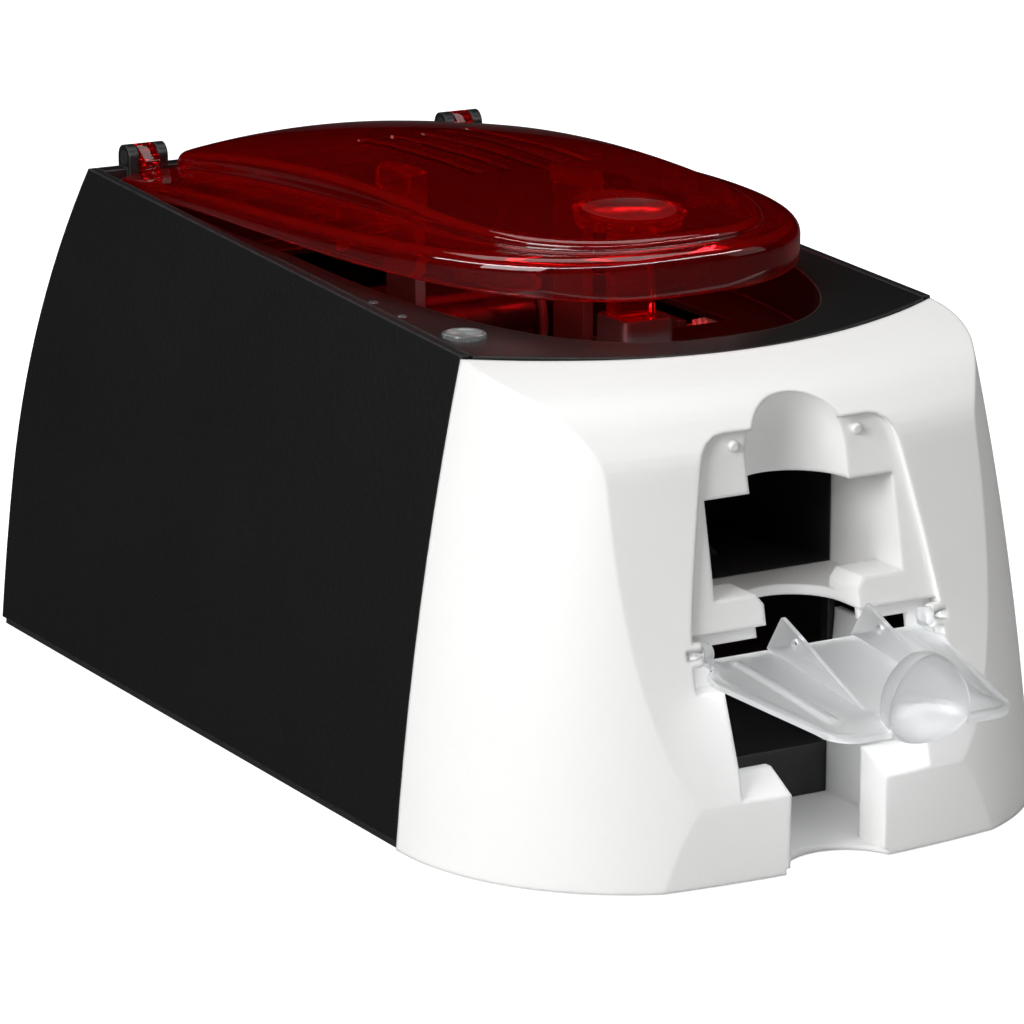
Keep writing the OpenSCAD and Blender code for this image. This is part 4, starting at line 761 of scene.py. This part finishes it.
# Hood: an egg-shaped mouth carried back to a round end, with a thin wall and a rounded lip
hood_sides, hood_steps, hood_long, hood_inner, hood_shrink = 96, 20, 11.4, 10.5, 0.93
mouth_half, mouth_up, mouth_down, mouth_sink, mouth_lean, mouth_narrow = 12, 14.6, 7.4, 1.9, 2.4, 0.16
round_turn = np.linspace(0, 2 * np.pi, hood_sides + 1)[:-1]
upper_half = np.clip(np.sin(round_turn), 0, 1)
mouth_x = mouth_half * np.cos(round_turn) * (1 - mouth_narrow * upper_half ** 2)
mouth_h = np.where(np.sin(round_turn) > 0, mouth_up, mouth_down) * np.sin(round_turn) - mouth_sink
mouth_back = mouth_lean * upper_half
hood = []
for bend in np.radians(np.linspace(2, 90, hood_steps)):
    part = math.sin(bend)
    ring_out = mouth_back * part + hood_y + hood_long * math.cos(bend)
    hood.append(from_hinge(mouth_x * part, ring_out, mouth_h * part))
for bend in np.radians([30, 60, 90, 120, 150]):
    cut = 1 - (1 - hood_shrink) / 2 * (1 - math.cos(bend))
    hood.append(from_hinge(mouth_x * cut, mouth_back + hood_y - 0.3 * math.sin(bend), mouth_h * cut))
for bend in np.radians(np.linspace(90, 2, hood_steps)):
    part = math.sin(bend)
    ring_out = mouth_back * part + hood_y + hood_inner * math.cos(bend)
    hood.append(from_hinge(mouth_x * hood_shrink * part, ring_out, mouth_h * hood_shrink * part))
hood = np.array(hood)
hood_ends = [hood[0].mean(0), hood[-1].mean(0)]
count = len(hood) * hood_sides
last = count - hood_sides
fans = [[i, (i + 1) % hood_sides, count] for i in range(hood_sides)]
fans += [[last + (i + 1) % hood_sides, last + i, count + 1] for i in range(hood_sides)]
flap_parts.append((np.concatenate([hood.reshape(-1, 3), hood_ends]),
                   quads(len(hood), hood_sides, closed=True).tolist() + fans))

# Fins: a long triangle with a rounded top and one round hole, 1.2 thick
fin_sides, fin_half, fin_flat, fin_x = 144, 0.6, 0.4, 12.4
hole, hole_r, fin_top, fin_round = np.array([-9.4, 3.0]), 1.25, np.array([-3.5, 6.7]), 0.95
ray = np.linspace(-np.pi, np.pi, fin_sides + 1)[:-1]
fin = np.concatenate([fin_top + circle(fin_round, ray), [[2.4, -2.7], [-40, -2.7], [-40, -2.2]]])
fin_edge, fin_hole = reach(hull_line(fin, 60), hole, ray), hole + circle(hole_r, ray)
fin_bevel = fin_hole * 0.05 + fin_edge * 0.95
for side in (-fin_x, fin_x):
    stations = [(-fin_half, fin_hole), (-fin_half, fin_bevel), (-fin_flat, fin_edge), (fin_flat, fin_edge),
                (fin_half, fin_bevel), (fin_half, fin_hole), (-fin_half, fin_hole)]
    flap_parts.append(tube([from_hinge(side + x, *line.T) for x, line in stations]))

# Arms and pins: turned steps along the hinge line, and a block that ties each arm to the plate
arm_in, arm_out, arm_r, arm_bevel = 31.0, 33.6, 2.4, 0.2
pin_out, pin_r, pin_bevel = 36.3, 1.7, 0.3
tie_out, tie_back, tie_front, tie_low, tie_high = 32.2, -2.0, 1.4, -3.4, -1.0
arm_steps = ((arm_in, 0), (arm_in, arm_r - arm_bevel), (arm_in + arm_bevel, arm_r),
             (arm_out - arm_bevel, arm_r), (arm_out, arm_r - arm_bevel), (arm_out, pin_r),
             (pin_out - pin_bevel, pin_r), (pin_out, pin_r - pin_bevel), (pin_out, 0))
box_faces = [[0, 1, 2, 3], [7, 6, 5, 4], [0, 4, 5, 1], [1, 5, 6, 2], [2, 6, 7, 3], [3, 7, 4, 0]]
for side in (-1, 1):
    flap_parts.append(tube([from_hinge(side * x, *circle(r, round_turn).T) for x, r in arm_steps]))
    tie_x, tie_v = np.meshgrid([side * arm_in, side * tie_out], [tie_back, tie_front], indexing="ij")
    corners = [from_hinge(tie_x, tie_v, h).reshape(-1, 3)[[0, 2, 3, 1]] for h in (tie_low, tie_high)]
    flap_parts.append((np.concatenate(corners), box_faces))

flap_frost = see_through("flap_frost", (0.80, 0.805, 0.81), spread=0.03, clear=0.9, ior=1.49,
                         gloss=(0.3, 0.4), grain=1800, uneven=0.00003, passed=(0.85, 0.86, 0.87))[0]
frosted_flap = piece_from("frosted_flap", flap_parts, sharp=50)
frosted_flap.data.materials.append(flap_frost)
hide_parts("card_flap")
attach(frosted_flap, "flap")

# ---------------------------------------------------------------- Controls
# One clear round button with a dished top, two small light pipes, and the little board under
# them. The catch of the lid stands in the well beside them.

clear_cap = see_through("clear_cap", (0.80, 0.82, 0.84), spread=0.03, clear=0.92, ior=1.49,
                        gloss=(0.04, 0.2), grain=900, uneven=0.00001, passed=(0.85, 0.86, 0.87))[0]
seam_y, seam_z, deck_lean = -66, 124.3, math.radians(2.85)
button_x, button_y, button_proud = -59.5, -50, 1
pipe_r, pipe_low, pipe_proud = 1.3, 113.2, 0.1


def deck_height(y):
    """Height of the sloping deck at y."""
    return seam_z + (y - seam_y) * math.tan(deck_lean)


def turned(x, y, profile, sides=64):
    """Part turned about an upright line at x, y from a profile of (radius, height) steps."""
    turn = np.linspace(0, 2 * np.pi, sides, endpoint=False)
    return tube([np.column_stack([circle(r, turn) + (x, y), np.full(sides, z)]) for r, z in profile])


# Button: (radius, depth below its top) steps, from its stem over the flange to the dished cap
button_top = deck_height(button_y) + button_proud
button_steps = ((0, 8), (6.9, 8), (6.9, 6.4), (5.5, 6.4), (5.5, 0.5), (5.35, 0.12), (5.0, 0), (4.5, 0.05),
                (4.2, 0.35), (3.0, 0.7), (1.5, 0.85), (0, 0.9))
button_profile = [(r, button_top - depth) for r, depth in button_steps]
button_cap = piece_from("button_cap", [turned(button_x, button_y, button_profile)])
button_cap.data.materials.append(clear_cap)
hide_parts("control_button")
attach(button_cap, "button")

pipes = []
for x, y in ((-64.4, -12), (-64.3, -27)):
    top = deck_height(y) + pipe_proud
    profile = [(0, pipe_low), (pipe_r, pipe_low), (pipe_r, top - 0.35), (1.15, top - 0.1), (0.8, top),
               (0, top)]
    pipes.append(turned(x, y, profile, sides=32))
light_pipes = piece_from("light_pipes", pipes)
light_pipes.data.materials.append(clear_cap)
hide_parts("status_lights")
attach(light_pipes, "housing")

# The catch of the lid: a low tray with a raised rim and a socket that the latch post drops into
catch_sides, catch_y = 96, -34
catch_turn = np.linspace(0, 2 * np.pi, catch_sides, endpoint=False)


def stack(steps):
    """Closed form from superellipses of (half width, half depth, power, height), one over the other."""
    rings = []
    for wide, deep, power, height in steps:
        x, y = superellipse(wide, deep, power, catch_turn)
        rings.append(np.stack([x, catch_y + y, np.full(catch_sides, height)], 1))
    return tube(rings)


latch_socket = piece_from("latch_socket", [stack([
    (0, 0, 5, 111.8), (10, 9.6, 7, 111.8), (10, 9.6, 7, 113.6), (9.6, 9.2, 7, 114.0), (9.1, 8.7, 7, 113.6),
    (9.0, 8.6, 7, 113.0), (8.0, 8.0, 7, 112.9), (7.8, 7.8, 7, 113.2), (7.7, 7.7, 7, 120.3),
    (7.4, 7.4, 7, 120.8), (6.9, 6.9, 7, 120.8), (6.6, 6.7, 8, 120.5), (6.5, 6.6, 8, 113.6),
    (0, 0, 8, 113.6)])])
latch_socket.data.materials.append(tray_black)
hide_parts("latch_catch")
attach(latch_socket, "housing")
board_green = moulding("board_green", (0.012, 0.09, 0.035), 0.35, pitch=900, depth=0.00002, edge=0.0003)
dress(board_green, "control_board", "main_board")

# ---------------------------------------------------------------- Chassis and card tracks
# Two black moulded plates carry the shafts, with the card track and the exit chute between them.

chassis_black = moulding("chassis_black", (0.014, 0.014, 0.015), 0.45, pitch=1800, depth=0.00004, edge=0.0005)
dress(chassis_black, "chassis_left", "chassis_right", "feed_track", "rear_track", "output_chute")

# ---------------------------------------------------------------- Print head, rollers and drive
# The head hangs from the lid on a zinc-plated bracket. Steel shafts carry rubber rollers, and
# white gears on the right-hand plate take the drive from a brass pinion.

zinc_plate = moulding("zinc_plate", (0.55, 0.56, 0.57), 0.32, pitch=700, depth=0.00002, edge=0.0004,
                      metal=1.0, spread=0.12)
dress(zinc_plate, "head_bracket", "usb_socket", "screws", "pinch_roller")
sink_metal = moulding("sink_metal", (0.62, 0.63, 0.64), 0.38, pitch=1200, depth=0.00002, edge=0.0003,
                      metal=1.0)
dress(sink_metal, "head_sink")
head_ceramic = moulding("head_ceramic", (0.62, 0.58, 0.48), 0.22, pitch=1500, depth=0.00001, edge=0.0003)
dress(head_ceramic, "print_head")
bright_steel = moulding("bright_steel", (0.60, 0.60, 0.61), 0.22, pitch=1500, depth=0.00001, edge=0.0002,
                        metal=1.0)
dress(bright_steel, "platen_shaft", "pick_shaft", "feed_shaft", "guide_rods")
roller_rubber = moulding("roller_rubber", (0.022, 0.022, 0.023), 0.72, pitch=2400, depth=0.00005, edge=0.0005)
dress(roller_rubber, "platen_roller", "pick_roller", "feed_roller")
cleaner_blue = moulding("cleaner_blue", (0.03, 0.10, 0.42), 0.3, pitch=1600, depth=0.00002, edge=0.0005)
dress(cleaner_blue, "cleaning_roller")
# The white spools are painted dark grey, a painted shade for the dark under the lid.
spool_white = moulding("spool_white", (0.09, 0.09, 0.088), 0.4, pitch=2000, depth=0.00002, edge=0.0005)
dress(spool_white, "supply_spool", "takeup_spool")
gear_white = moulding("gear_white", (0.66, 0.65, 0.60), 0.38, pitch=2000, depth=0.00002, edge=0.0003)
dress(gear_white, "motor_idler", "platen_gear", "feed_idler", "feed_gear", "pick_idler", "pick_gear",
      "takeup_idler", "takeup_gear")
ribbon_dark = moulding("ribbon_dark", (0.012, 0.010, 0.014), 0.18, pitch=600, depth=0.00001, edge=0.0003)
dress(ribbon_dark, "supply_roll", "takeup_roll", "ribbon_film")
pinion_brass = moulding("pinion_brass", (0.55, 0.36, 0.13), 0.3, pitch=1500, depth=0.00001, edge=0.0002,
                        metal=1.0)
dress(pinion_brass, "motor_pinion")
motor_grey = moulding("motor_grey", (0.05, 0.05, 0.053), 0.4, pitch=1500, depth=0.00003, edge=0.0005,
                      metal=0.6)
dress(motor_grey, "drive_motor")

# ---------------------------------------------------------------- Feet
# Four soft rubber feet pressed into the base tray.

foot_rubber = moulding("foot_rubber", (0.012, 0.012, 0.012), 0.85, pitch=1500, depth=0.00005, edge=0.0006)
dress(foot_rubber, "rubber_feet")
